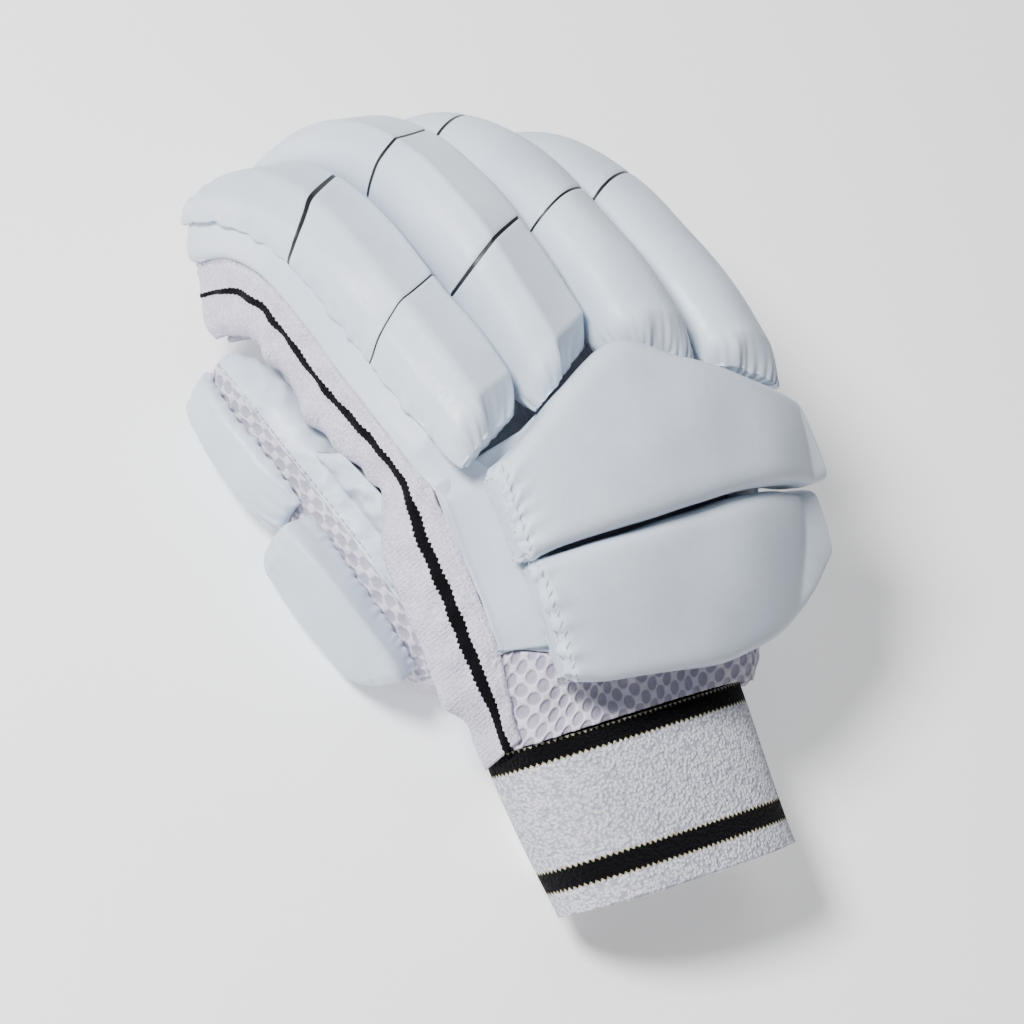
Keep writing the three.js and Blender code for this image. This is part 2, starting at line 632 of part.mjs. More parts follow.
// Point of the thumb's tube; angle 0 faces its back, where the pads sit.
function thumbFrame(t) {
  const last = thumbRows.length - 1;
  const row = sample(thumbRows, clamp(t, 0, last));
  const before = place(sample(thumbRows, Math.max(t - 0.1, 0)));
  const after = place(sample(thumbRows, Math.min(t + 0.1, last)));
  const forward = after.sub(before).normalize();
  const turn = THREE.MathUtils.degToRad(row.turn);
  const up = new THREE.Vector3(-Math.sin(turn), 0, Math.cos(turn));
  up.addScaledVector(forward, -up.dot(forward)).normalize();
  const side = new THREE.Vector3().crossVectors(forward, up);
  return { row, middle: place(row), forward, side, up };
}

function thumbPoint(t, degrees, swell = 0, along = 0) {
  const frame = thumbFrame(t);
  const a = THREE.MathUtils.degToRad(degrees);
  const { row } = frame;
  return fromFrame(frame, (row.wide + swell) * Math.sin(a), (row.deep + swell) * Math.cos(a), along);
}

function thumbSheet(name, from, to, columns, material, keep) {
  const steps = 13;
  const grid = [];
  for (let i = 0; i <= steps; i += 1) {
    const t = mix(0, thumbRows.length - 1, i / steps);
    grid.push(Array.from({ length: columns }, (_, j) => {
      return thumbPoint(t, mix(from, to, j / (columns - 1)));
    }));
  }
  return sheetSolid(name, grid, leatherWall, material, { keep });
}

// Pad on the back of the thumb between two row positions, its thickness given
// at the cuff end and at the tip end.
function thumbPad(name, { from, to, reach, thick, ends, lift }) {
  const across = [-1, -0.72, -0.3, 0.3, 0.72, 1];
  const stops = [];
  const steps = 8;
  for (let k = 0; k <= steps; k += 1) {
    const w = k / steps;
    const near = Math.min(w, 1 - w) * 2;
    const size = mix(ends, 1, Math.min(1, near * 2.4) ** 0.5);
    stops.push({ t: mix(from, to, w), size, tall: mix(thick[0], thick[1], w) });
  }
  const rings = stops.map(({ t, size, tall }) => {
    const seat = across.map((u) => thumbPoint(t, u * reach, leatherWall / 2 + lift));
    const crown = across.map((u) => {
      const swell = leatherWall / 2 + lift + 1.2 + tall * size * (1 - 0.5 * u ** 4);
      return thumbPoint(t, u * reach * mix(0.86, 1, size), swell);
    });
    return [...seat, ...crown.reverse()];
  });
  return ringSolid(name, rings, whiteLeather());
}

// Towelling piping along the edge of a finger front, up one side, round the
// tip and down the other.
function fingerPiping(name, rows, start) {
  const drop = -fingerDeep - pieceGap * 2.4 - leatherWall - pipingRadius;
  const reach = fingerHalf - pipingRadius;
  const last = rows.length - 1;
  const path = [];
  const steps = 9;
  for (let k = 0; k <= steps; k += 1) {
    const frame = fingerFrame(rows, mix(start + 0.1, last, k / steps));
    path.push({ frame, at: fromFrame(frame, -reach, drop), out: frame.side });
  }
  const tip = fingerFrame(rows, last);
  for (const turn of [35, 72, 108, 145]) {
    const a = THREE.MathUtils.degToRad(turn);
    const at = fromFrame(tip, -reach * Math.cos(a), drop, (tipReach - 2.2) * Math.sin(a));
    const out = tip.side.clone().multiplyScalar(Math.cos(a)).addScaledVector(tip.forward, -Math.sin(a));
    path.push({ frame: tip, at, out });
  }
  for (let k = steps; k >= 0; k -= 1) {
    const frame = fingerFrame(rows, mix(start + 0.1, last, k / steps));
    path.push({ frame, at: fromFrame(frame, reach, drop), out: frame.side.clone().negate() });
  }
  const rings = path.map(({ frame, at, out }) => Array.from({ length: 6 }, (_, j) => {
    const a = Math.PI * j / 3;
    return at.clone()
      .addScaledVector(out, pipingRadius * Math.cos(a))
      .addScaledVector(frame.up, pipingRadius * Math.sin(a));
  }));
  return ringSolid(name, rings, towelling());
}

function buildGlove() {
  const glove = new THREE.Group();
  glove.name = 'batting_glove';
  glove.add(cuff(), wristStrap(), meshBand(), backLeather(), palmLeather(), sideGusset());
  glove.add(fingerRoll('roll_index', indexRows, gableSection, { outer: -1, toe: 0.5, slant: heelSlant[0] }));
  glove.add(fingerRoll('roll_middle', middleRows, gableSection, { slant: heelSlant[1] }));
  glove.add(fingerRoll('roll_ring', ringRows, sausageSection, { slant: heelSlant[2] }));
  glove.add(fingerRoll('roll_little', littleRows, sausageSection, { outer: 1, slant: heelSlant[3] }));
  ['index', 'middle', 'ring', 'little'].forEach((finger, f) => {
    glove.add(fingerPiping(`piping_${finger}`, fingers[f], crotchRow[f]));
  });
  glove.add(handPad('knuckle_pad', knucklePadRows), handPad('wrist_pad', wristPadRows));
  const underPalm = (i, j) => i < 2 || i > 4 || j < 1 || j > 5;
  glove.add(thumbSheet('thumb_leather', 78, 222, 10, whiteLeather(), underPalm));
  glove.add(thumbSheet('thumb_mesh', -129, 69, 13, mesh()));
  const tipRoll = { from: 4.4, to: 7.5, reach: 46, thick: [9, 9], ends: 0.1, lift: 2.1 };
  const basePad = { from: 1.7, to: 4.2, reach: 41, thick: [12.5, 17], ends: 0.6, lift: 1.2 };
  glove.add(thumbPad('thumb_tip_roll', tipRoll), thumbPad('thumb_base_pad', basePad));
  return glove;
}

const group = buildGlove();
const box = new THREE.Box3().setFromObject(group);
const centre = box.getCenter(new THREE.Vector3());
group.position.set(-centre.x, -centre.y, -box.min.z);
export default group;
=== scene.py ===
import bpy
import numpy as np
from mathutils import Matrix, Vector


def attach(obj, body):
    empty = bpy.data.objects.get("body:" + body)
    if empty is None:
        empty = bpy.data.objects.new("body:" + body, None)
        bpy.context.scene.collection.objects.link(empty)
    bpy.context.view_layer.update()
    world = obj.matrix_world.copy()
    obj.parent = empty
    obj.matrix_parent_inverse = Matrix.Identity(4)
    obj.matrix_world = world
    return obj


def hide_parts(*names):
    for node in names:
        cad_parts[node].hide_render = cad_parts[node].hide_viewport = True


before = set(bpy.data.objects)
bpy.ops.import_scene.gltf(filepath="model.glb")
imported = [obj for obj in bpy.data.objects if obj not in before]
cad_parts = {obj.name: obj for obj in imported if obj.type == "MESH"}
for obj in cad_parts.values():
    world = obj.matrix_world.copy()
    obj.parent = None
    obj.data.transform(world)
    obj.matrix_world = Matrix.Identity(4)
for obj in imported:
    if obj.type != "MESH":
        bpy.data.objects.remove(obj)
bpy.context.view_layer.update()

# Everything below is worked out in millimetres in the part's own drawing frame,
# and gloveShift carries it into the row's frame.
gloveShift = np.array([15.347, 63.839, 0.0])

walls = {"leather": 1.8, "cloth": 2.2, "knit": 2.6, "strap": 3.2, "strip": 1.4, "gap": 0.5,
         "padLift": 1.4}
fingerBox = {"half": 15.6, "deep": 13.4, "gusset": 12.6, "tip": 11.0}

# values a vertex has where no painted line or stripe is near, in mm
farAway = {"inkMm": 99.0, "acrossMm": 99.0}
noInk = {"inkMm": farAway["inkMm"]}

# Middle line of each finger: x, y, z, tilt, rise of the roll's crest, underside of
# the roll, half width to the left and to the right.
fingerRows = {
    "index": np.array([
        [-54.5, -63.6, 71.4, 4, 39, 17.5, 18.4, 19.6], [-55.5, -37.6, 69.4, 4, 40, 13.6, 19, 20.7],
        [-55.5, -12.6, 65.4, 4, 40, 13.6, 19, 20.7], [-55.5, 11.4, 62.9, 4, 38, 13.6, 18.8, 21],
        [-55.5, 28.4, 59.2, 4, 36.5, 15, 18.6, 21.4], [-55.5, 39, 51.6, 4, 36, 17, 18, 20.8],
        [-55.5, 44.8, 43, 4, 35.6, 19.4, 17.4, 19], [-55.5, 48.8, 34.6, 4, 35, 20.6, 16.8, 17]]),
    "middle": np.array([
        [-16, -48.4, 74, 2, 40, 17.5, 17.6, 16.6], [-16.5, -22, 77, 2, 40, 13.2, 19, 16.8],
        [-17, -3, 78, 2, 40, 13.2, 19, 16.8], [-17, 16, 75, 2, 39.4, 13.2, 18.2, 16.6],
        [-17, 34.5, 69, 2, 37.6, 13.2, 18, 16.6], [-17, 48.5, 60, 2, 32, 13.2, 17.6, 16.6],
        [-17, 58.5, 46.5, 2, 28, 13.2, 17.2, 16.6], [-17, 64, 30, 2, 25, 13.2, 16.6, 16.4],
        [-17, 66, 13.8, 2, 23.5, 13.2, 16, 16]]),
    "ring": np.array([
        [16, -58.5, 79, -5, 39, 17.5, 15.8, 16], [16.4, -34, 79, -5, 40.5, 13.2, 16, 16.4],
        [16.6, -8, 75, -5, 40.5, 13.2, 16, 16.4], [17, 13, 70, -5, 39, 13.2, 16, 16.4],
        [17, 32, 62, -5, 35.5, 13.2, 16, 16.2], [17, 44.5, 51, -5, 31, 13.2, 16, 16],
        [16.6, 53, 37, -5, 26.5, 13.2, 15.8, 15.8], [16, 57, 25, -5, 24, 13.2, 15.6, 15.6],
        [16, 59, 13.8, -5, 23, 13.2, 15, 15]]),
    "little": np.array([
        [46.4, -74, 72, -12, 37.5, 16.6, 14.6, 17.6], [48.2, -48, 72, -12, 37.5, 13.2, 15.2, 18],
        [49.7, -20, 68.5, -12, 36, 13.2, 15.2, 17.4], [50.6, 0, 64, -12, 34.4, 13.2, 15.2, 17],
        [50.8, 17, 56, -12, 32.6, 14.2, 15.2, 17], [50.4, 29, 45.5, -12, 30.4, 15.2, 15.2, 16.8],
        [49.8, 37, 33, -12, 28.5, 16.2, 15, 17], [49.2, 41, 22.5, -12, 27, 17.2, 14.6, 16.2],
        [49.2, 43, 13.8, -12, 26, 17.6, 14.4, 15.6]]),
}
fingerNames = ["index", "middle", "ring", "little"]
crotchY = {"index": -8, "middle": -5, "ring": -6, "little": -10}

# Back of the hand: y, left edge x and z, right edge x and z, middle z, squareness.
backRows = np.array([
    [-152, -70, 43, 24, 43, 55, 2], [-131, -70, 53.2, 37.5, 55.2, 67, 2.6],
    [-108, -70.5, 64.4, 50.2, 66.4, 79, 3.4], [-82, -71, 75, 60.4, 78.2, 88, 2.8],
    [-60, -71.6, 84.6, 66, 86.4, 92.4, 2.2], [-40, -71.8, 86, 67, 87.4, 94, 2]])
leatherFront = np.array([
    [-80, -64], [-36, -60], [-29, -57.5], [-17, -53], [-1, -53.5], [16, -62], [31, -69],
    [46, -77], [80, -80]])

# Side walls: x, y, z of the middle, lean in degrees, half height.
thumbSideRows = np.array([
    [-71.4, -141, 35.5, 20, 9], [-72.2, -131, 40, 14, 10.5], [-72, -112, 48.2, 6, 12.2],
    [-71.4, -88, 57, 2, 12.6], [-70.6, -66, 63.2, -2, 12.6]])
littleSideRows = np.array([
    [63, -66, 68, 6, 12.6], [59, -88, 61, 0, 12.6], [51.5, -108, 52, -6, 12.2],
    [40, -132, 42, -14, 10.5], [29.5, -153, 34, -20, 9]])

# Cuff: x, y, z of the middle, half width, half height.
cuffRows = np.array([
    [-34.6, -207, 26, 45.2, 24.4], [-33.4, -199.5, 26.2, 45.6, 24.6], [-30, -181.5, 26.6, 47.2, 25],
    [-25.8, -162, 27.2, 48.6, 25.6], [-22.8, -148, 28, 49.2, 25.8]])
cuffSlant = {"skew": 0.12, "tilt": 0.36}

# Thumb: x, y, z of the middle, half width, half depth, turn of its back.
thumbRows = np.array([
    [-58, -109, 15.6, 4.6, 4, 100], [-60.6, -101, 14.4, 12.2, 12, 100],
    [-64, -88, 20.6, 17.4, 15, 100], [-68, -68, 24, 18, 14.6, 101],
    [-70, -43, 26, 16.5, 13.5, 106], [-72, -16, 25.6, 15.4, 13, 109],
    [-74, 8, 24.6, 14, 11.6, 110], [-75.6, 21.4, 23, 10, 8, 110], [-76.2, 26.4, 22.4, 5, 4, 110]])


def mix(a, b, t):
    # a at t = 0, b at t = 1
    return a + (b - a) * t


def ramp(x, low, high):
    # 0 below low, 1 above high, an S between: 3r^2 - 2r^3
    r = np.clip((x - low) / (high - low), 0, 1)
    return r * r * (3 - 2 * r)


def unit(v):
    # the same direction, length 1
    return v / np.maximum(np.linalg.norm(v, axis=-1, keepdims=True), 1e-9)


def curveAt(rows, t):
    # Catmull-Rom through the rows, every column at once
    last = len(rows) - 1
    t = np.asarray(t, float)
    i = np.clip(np.floor(t).astype(int), 0, last - 1)
    f = (t - i)[..., None]
    p, q, r, s = (rows[np.clip(i + k, 0, last)] for k in (-1, 0, 1, 2))
    bend = 2 * p - 5 * q + 4 * r - s
    twist = -p + 3 * q - 3 * r + s
    return 0.5 * (2 * q + (r - p) * f + bend * f ** 2 + twist * f ** 3)


def rowWhere(rows, column, value):
    # row position at which a rising or falling column reaches a value
    t = np.linspace(0, len(rows) - 1, 2000)
    line = curveAt(rows, t)[:, column]
    order = np.argsort(line)
    return np.interp(value, line[order], t[order])


def waves(a, b, size, seed, count=14, stretch=1.0):
    # soft relief: a sum of cosines of random direction and phase, about size mm apart
    rng = np.random.default_rng(seed)
    total = np.zeros(np.broadcast(a, b).shape)
    for _ in range(count):
        angle, phase = rng.uniform(0, 2 * np.pi, 2)
        k = 2 * np.pi / (size * rng.uniform(0.7, 1.5))
        total += np.cos(k * (a * np.cos(angle) + b * stretch * np.sin(angle)) + phase)
    return total / np.sqrt(count / 2)


def gridNormals(points, looped):
    # cross product of the two directions of the grid at each point
    if looped:
        across = np.roll(points, -1, 1) - np.roll(points, 1, 1)
    else:
        across = np.gradient(points, axis=1)
    along = np.gradient(points, axis=0)
    normal = np.cross(across, along)
    size = np.linalg.norm(normal, axis=-1, keepdims=True)
    flat = size[..., 0] < 1e-7
    normal = normal / np.maximum(size, 1e-9)
    if flat.any():
        normal[flat] = unit(normal.mean((0, 1)))
    return normal


def raised(points, relief, section, up):
    # a closed skin moved along its outward normal, the one that leans with up where
    # the section is highest, on the ring half way along
    crest, ring = np.argmax(section[:, 1]), len(points) // 2
    face = gridNormals(points, True)
    face = face * np.sign((face[ring, crest] * up[ring]).sum())
    return points + face * relief[..., None], face


def gridUv(points, looped):
    # millimetres along the rows and the columns, from the middle column and first row
    closed = np.concatenate([points, points[:, :1]], 1) if looped else points
    step = np.linalg.norm(np.diff(closed, axis=1), axis=-1)
    u = np.concatenate([np.zeros((len(points), 1)), np.cumsum(step, 1)], 1)
    u = u - u[:, u.shape[1] // 2][:, None]
    step = np.linalg.norm(np.diff(closed, axis=0), axis=-1)
    v = np.concatenate([np.zeros((1, closed.shape[1])), np.cumsum(step, 0)], 0)
    return u, v


def squares(rows, columns, looped, keep=None):
    # corner numbers of every square of a grid
    i, j = np.meshgrid(np.arange(rows - 1), np.arange(columns if looped else columns - 1),
                       indexing="ij")
    if keep is not None:
        i, j = i[keep], j[keep]
    i, j = i.ravel(), j.ravel()
    k = (j + 1) % columns
    faces = np.stack([i * columns + j, i * columns + k, (i + 1) * columns + k,
                      (i + 1) * columns + j], 1)
    cell = np.stack([i, j], 1)
    return faces, cell


def cornerUv(u, v, cell):
    # the map's place at the four corners of each square
    i, j = cell[:, 0], cell[:, 1]
    pairs = [(i, j), (i, j + 1), (i + 1, j + 1), (i + 1, j)]
    return np.stack([np.stack([u[a, b], v[a, b]], 1) for a, b in pairs], 1)


def part(points, faces, uv, values, triangles=None):
    # one closed surface, turned so that its faces point outwards
    flat = points.reshape(-1, 3)
    a, b, c, d = (flat[faces[:, k]] for k in range(4))
    volume = np.einsum("ij,ij->i", a, np.cross(b, c)).sum() + np.einsum("ij,ij->i", a,
            np.cross(c, d)).sum()
    triangles = np.zeros((0, 3), int) if triangles is None else triangles
    if volume < 0:
        faces, uv, triangles = faces[:, ::-1], uv[:, ::-1], triangles[:, ::-1]
    return {"points": flat, "faces": faces, "uv": uv, "values": values, "triangles": triangles}


def shell(middle, wall, side, outer=0.0, inner=0.0, looped=False, keep=None, values=None, uv=None):
    # a wall about a grid: each face half a wall from the middle along its normal,
    # outer and inner add relief, and a rim joins the two round every edge
    rows, columns = middle.shape[:2]
    normal = gridNormals(middle, looped) * side
    outer, inner = (np.broadcast_to(relief, (rows, columns))[..., None]
                    for relief in (outer, inner))
    outside, inside = middle + normal * (wall / 2 + outer), middle - normal * (wall / 2 + inner)
    faces, cell = squares(rows, columns, looped, keep)
    u, v = gridUv(middle, looped) if uv is None else uv
    corner = cornerUv(u, v, cell)
    count = rows * columns
    edges = np.concatenate([faces[:, [k, (k + 1) % 4]] for k in range(4)])
    edgeUv = np.concatenate([corner[:, [k, (k + 1) % 4]] for k in range(4)])
    key = edges[:, 0] * count + edges[:, 1]
    back = edges[:, 1] * count + edges[:, 0]
    rim = ~np.isin(key, back)
    e, g = edges[rim], edgeUv[rim]
    rimFaces = np.stack([e[:, 1], e[:, 0], e[:, 0] + count, e[:, 1] + count], 1)
    rimUv = np.stack([g[:, 1], g[:, 0], g[:, 0], g[:, 1]], 1)
    allFaces = np.concatenate([faces, faces[:, ::-1] + count, rimFaces])
    allUv = np.concatenate([corner, corner[:, ::-1], rimUv])
    points = np.concatenate([outside.reshape(-1, 3), inside.reshape(-1, 3)])
    if keep is not None:
        used = np.unique(allFaces)
        lookup = np.zeros(len(points), int)
        lookup[used] = np.arange(len(used))
        allFaces, points = lookup[allFaces], points[used]
    full = {}
    for name, value in (values or {}).items():
        value = np.broadcast_to(value, (rows, columns)).ravel()
        both = np.concatenate([value, np.full(count, farAway.get(name, 0.0))])
        full[name] = both[used] if keep is not None else both
    return part(points, allFaces, allUv, full)


def tube(rings, values=None, uv=None):
    # a filled body through closed rings, with a fan at each end
    rows, columns = rings.shape[:2]
    faces, cell = squares(rows, columns, True)
    u, v = gridUv(rings, True) if uv is None else uv
    corner = cornerUv(u, v, cell)
    count = rows * columns
    middle = np.stack([rings[0].mean(0), rings[-1].mean(0)])
    points = np.concatenate([rings.reshape(-1, 3), middle])
    j = np.arange(columns)
    k = (j + 1) % columns
    start = np.stack([np.full(columns, count), k, j], 1)
    end = np.stack([np.full(columns, count + 1), count - columns + j, count - columns + k], 1)
    full = {}
    for name, value in (values or {}).items():
        value = np.broadcast_to(value, (rows, columns))
        full[name] = np.concatenate([value.ravel(), [value[0].mean(), value[-1].mean()]])
    return part(points, faces, corner, full, np.concatenate([start, end]))


def buildPiece(name, parts, material, nodes):
    # joins the surfaces into one mesh object in metres, with its UV map and values
    offset, points, faces, uv, triangles = 0, [], [], [], []
    names = sorted({key for p in parts for key in p["values"]})
    values = {key: [] for key in names}
    for p in parts:
        points.append(p["points"])
        faces.append(p["faces"] + offset)
        uv.append(p["uv"].reshape(-1, 2))
        triangles.append(p["triangles"] + offset)
        for key in names:
            values[key].append(p["values"].get(key,
                    np.full(len(p["points"]), farAway.get(key, 0.0))))
        offset += len(p["points"])
    points = (np.concatenate(points) + gloveShift) / 1000
    faces, triangles, uv = np.concatenate(faces), np.concatenate(triangles), np.concatenate(uv)
    mesh = bpy.data.meshes.new(name)
    mesh.vertices.add(len(points))
    mesh.vertices.foreach_set("co", points.astype(np.float32).ravel())
    loops = np.concatenate([faces.ravel(), triangles.ravel()]).astype(np.int32)
    mesh.loops.add(len(loops))
    mesh.loops.foreach_set("vertex_index", loops)
    starts = np.concatenate([np.arange(len(faces)) * 4,
                             len(faces) * 4 + np.arange(len(triangles)) * 3])
    mesh.polygons.add(len(starts))
    mesh.polygons.foreach_set("loop_start", starts.astype(np.int32))
    mesh.polygons.foreach_set("use_smooth", np.ones(len(starts), bool))
    layer = mesh.uv_layers.new(name="fabricMm")
    full = np.concatenate([uv, np.zeros((len(triangles) * 3, 2))]).astype(np.float32)
    layer.data.foreach_set("uv", full.ravel())
    for key in names:
        attribute = mesh.attributes.new(key, "FLOAT", "POINT")
        attribute.data.foreach_set("value", np.concatenate(values[key]).astype(np.float32))
    mesh.update(calc_edges=True)
    mesh.validate()
    mesh.materials.append(material)
    piece = bpy.data.objects.new(name, mesh)
    bpy.context.scene.collection.objects.link(piece)
    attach(piece, "root")
    if nodes:
        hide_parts(*nodes)
    flat = [parts[0]["uv"][..., k].max() - parts[0]["uv"][..., k].min() for k in (0, 1)]
    count, lowest = len(faces) * 2 + len(triangles), points[:, 2].min() * 1000
    print(f"{name}: {count} triangles, lowest {lowest:.1f} mm,"
          f" flat {flat[0]:.0f} x {flat[1]:.0f} mm")
    return piece


def fingerFrame(rows, t):
    # middle, forward, sideways and upward directions along a finger
    last = len(rows) - 1
    t = np.asarray(t, float)
    row = curveAt(rows, np.clip(t, 0, last))
    ahead = curveAt(rows, np.clip(t + 0.1, 0, last))[..., :3]
    behind = curveAt(rows, np.clip(t - 0.1, 0, last))[..., :3]
    forward = unit(ahead - behind)
    lean = np.radians(row[..., 3])
    side = np.stack([np.cos(lean), np.zeros_like(lean), np.sin(lean)], -1)
    side = unit(side - forward * (side * forward).sum(-1, keepdims=True))
    return {"row": row, "middle": row[..., :3], "forward": forward, "side": side,
            "up": np.cross(side, forward)}


def inFrame(at, across, high, along=0.0):
    # middle + side * across + up * high + forward * along
    across, high, along = (np.asarray(v, float)[..., None] for v in (across, high, along))
    return at["middle"] + at["side"] * across + at["up"] * high + at["forward"] * along


def spread(at):
    # a frame for each ring, ready for many points a ring
    return {key: value[..., None, :] for key, value in at.items()}


def lengthTable(rows):
    # row position against millimetres along the middle line
    t = np.linspace(0, len(rows) - 1, 600)
    middle = curveAt(rows, t)[:, :3]
    return t, np.concatenate([[0], np.cumsum(np.linalg.norm(np.diff(middle, axis=0), axis=1))])


def roundedLoop(corners, scale, count):
    # closed polygon with each corner turned by a curve that starts its radius away,
    # then set out in even steps along its length
    corners = np.asarray(corners, float)
    xy, radius = corners[:, :2] * scale, corners[:, 2]
    before, after = np.roll(xy, 1, 0), np.roll(xy, -1, 0)
    cutIn = np.minimum(radius, 0.49 * np.linalg.norm(before - xy, axis=1))
    cutOut = np.minimum(radius, 0.49 * np.linalg.norm(after - xy, axis=1))
    start = xy + unit(before - xy) * cutIn[:, None]
    end = xy + unit(after - xy) * cutOut[:, None]
    t = np.linspace(0, 1, 24)[None, :, None]
    turn = (1 - t) ** 2 * start[:, None] + 2 * t * (1 - t) * xy[:, None] + t ** 2 * end[:, None]
    path = turn.reshape(-1, 2)
    path = np.concatenate([path, path[:1]])
    length = np.concatenate([[0], np.cumsum(np.linalg.norm(np.diff(path, axis=0), axis=1))])
    at = np.linspace(0, length[-1], count, endpoint=False)
    return np.stack([np.interp(at, length, path[:, k]) for k in (0, 1)], 1) / scale


# Materials: one function for each finish of the glove

def srgb(code):
    # hex colour to linear light
    parts = [int(code[k:k + 2], 16) / 255 for k in (1, 3, 5)]
    return tuple(c / 12.92 if c <= 0.04045 else ((c + 0.055) / 1.055) ** 2.4
                 for c in parts) + (1.0,)


def newMaterial(name):
    # an empty material, to be filled by addNode
    material = bpy.data.materials.new(name)
    material.use_nodes = True
    material.node_tree.nodes.clear()
    return material


def addNode(material, kind, settings=None, links=None, output=0):
    # adds a node, sets its properties and sockets, links its inputs, gives its output
    node = material.node_tree.nodes.new("ShaderNode" + kind)
    for key, value in (settings or {}).items():
        if isinstance(key, str) and hasattr(node, key):
            setattr(node, key, value)
        else:
            node.inputs[key].default_value = value
    for key, source in (links or {}).items():
        material.node_tree.links.new(source, node.inputs[key])
    return node.outputs[output] if len(node.outputs) else node


# settings that come back in many nodes
smooth = {"interpolation_type": "SMOOTHSTEP"}
falling = {**smooth, "To Min": 1.0, "To Max": 0.0}
colour = {"data_type": "RGBA"}


# PU-coated leather, embossed with a fine pebble and finished semi-matt: a broad
# soft highlight on a cool white, hairline creases darkened with painted shade, faint
# soiling, black seam paint, and painted shade in the punched holes, both where the
# distance to a seam line or hole is near nought.
def paintedLeather(name, light, shade, roughness):
    m = newMaterial(name)
    place = addNode(m, "TexCoord", output="Object")
    pebble = addNode(m, "TexVoronoi", {"feature": "SMOOTH_F1", "Scale": 1000 / 1.1},
                     {"Vector": place}, "Distance")
    grain = addNode(m, "TexNoise", {"Scale": 1000 / 2.6, "Detail": 4.0, "Roughness": 0.6},
                    {"Vector": place})
    cloud = addNode(m, "TexNoise", {"Scale": 1000 / 36, "Detail": 3.0, "Roughness": 0.5},
                    {"Vector": place})
    crease = addNode(m, "TexNoise", {"Scale": 1000 / 9, "Detail": 6.0, "Roughness": 0.62,
                                     "Distortion": 1.4}, {"Vector": place})
    patch = addNode(m, "MapRange", {**smooth, "From Min": 0.32, "From Max": 0.68}, {"Value": cloud})
    tint = addNode(m, "Mix", {**colour, 6: srgb(light), 7: srgb(shade)}, {0: patch}, 2)
    hair = addNode(m, "Math", {"operation": "SUBTRACT", 1: 0.5}, {0: crease})
    hair = addNode(m, "Math", {"operation": "ABSOLUTE"}, {0: hair})
    # painted shade: the hairline creases are darkened
    creaseShade = addNode(m, "MapRange", {**smooth, "From Max": 0.02, "To Min": 0.16, "To Max": 0.0},
                   {"Value": hair})
    tint = addNode(m, "Mix", {**colour, 7: srgb("#AEB6C2")}, {0: creaseShade, 6: tint}, 2)
    # black where this distance is near nought: seam paint on the rolls, and painted shade in the
    # palm's punched holes
    inkAndHoleShade = addNode(m, "Attribute", {"attribute_name": "inkMm"}, output="Fac")
    ragged = addNode(m, "Math", {"operation": "MULTIPLY_ADD", 1: 0.14}, {0: grain, 2: inkAndHoleShade})
    line = addNode(m, "MapRange", {**falling, "From Min": 0.46, "From Max": 0.6}, {"Value": ragged})
    tint = addNode(m, "Mix", {**colour, 7: srgb("#101217")}, {0: line, 6: tint}, 2)
    low = addNode(m, "Math", {"operation": "MULTIPLY_ADD", 1: 0.6}, {0: pebble, 2: grain})
    furrow = addNode(m, "MapRange", {**smooth, "From Max": 0.03, "To Min": -0.9, "To Max": 0.0},
                     {"Value": hair})
    low = addNode(m, "Math", {"operation": "ADD"}, {0: low, 1: furrow})
    bump = addNode(m, "Bump", {"Strength": 0.2, "Distance": 0.0002}, {"Height": low})
    rough = addNode(m, "MapRange", {"From Min": 0.25, "From Max": 0.75, "To Min": roughness - 0.05,
                                    "To Max": roughness + 0.07}, {"Value": cloud})
    shader = addNode(m, "BsdfPrincipled", {"IOR": 1.48},
                     {"Base Color": tint, "Roughness": rough, "Normal": bump})
    addNode(m, "OutputMaterial", {}, {"Surface": shader})
    return m


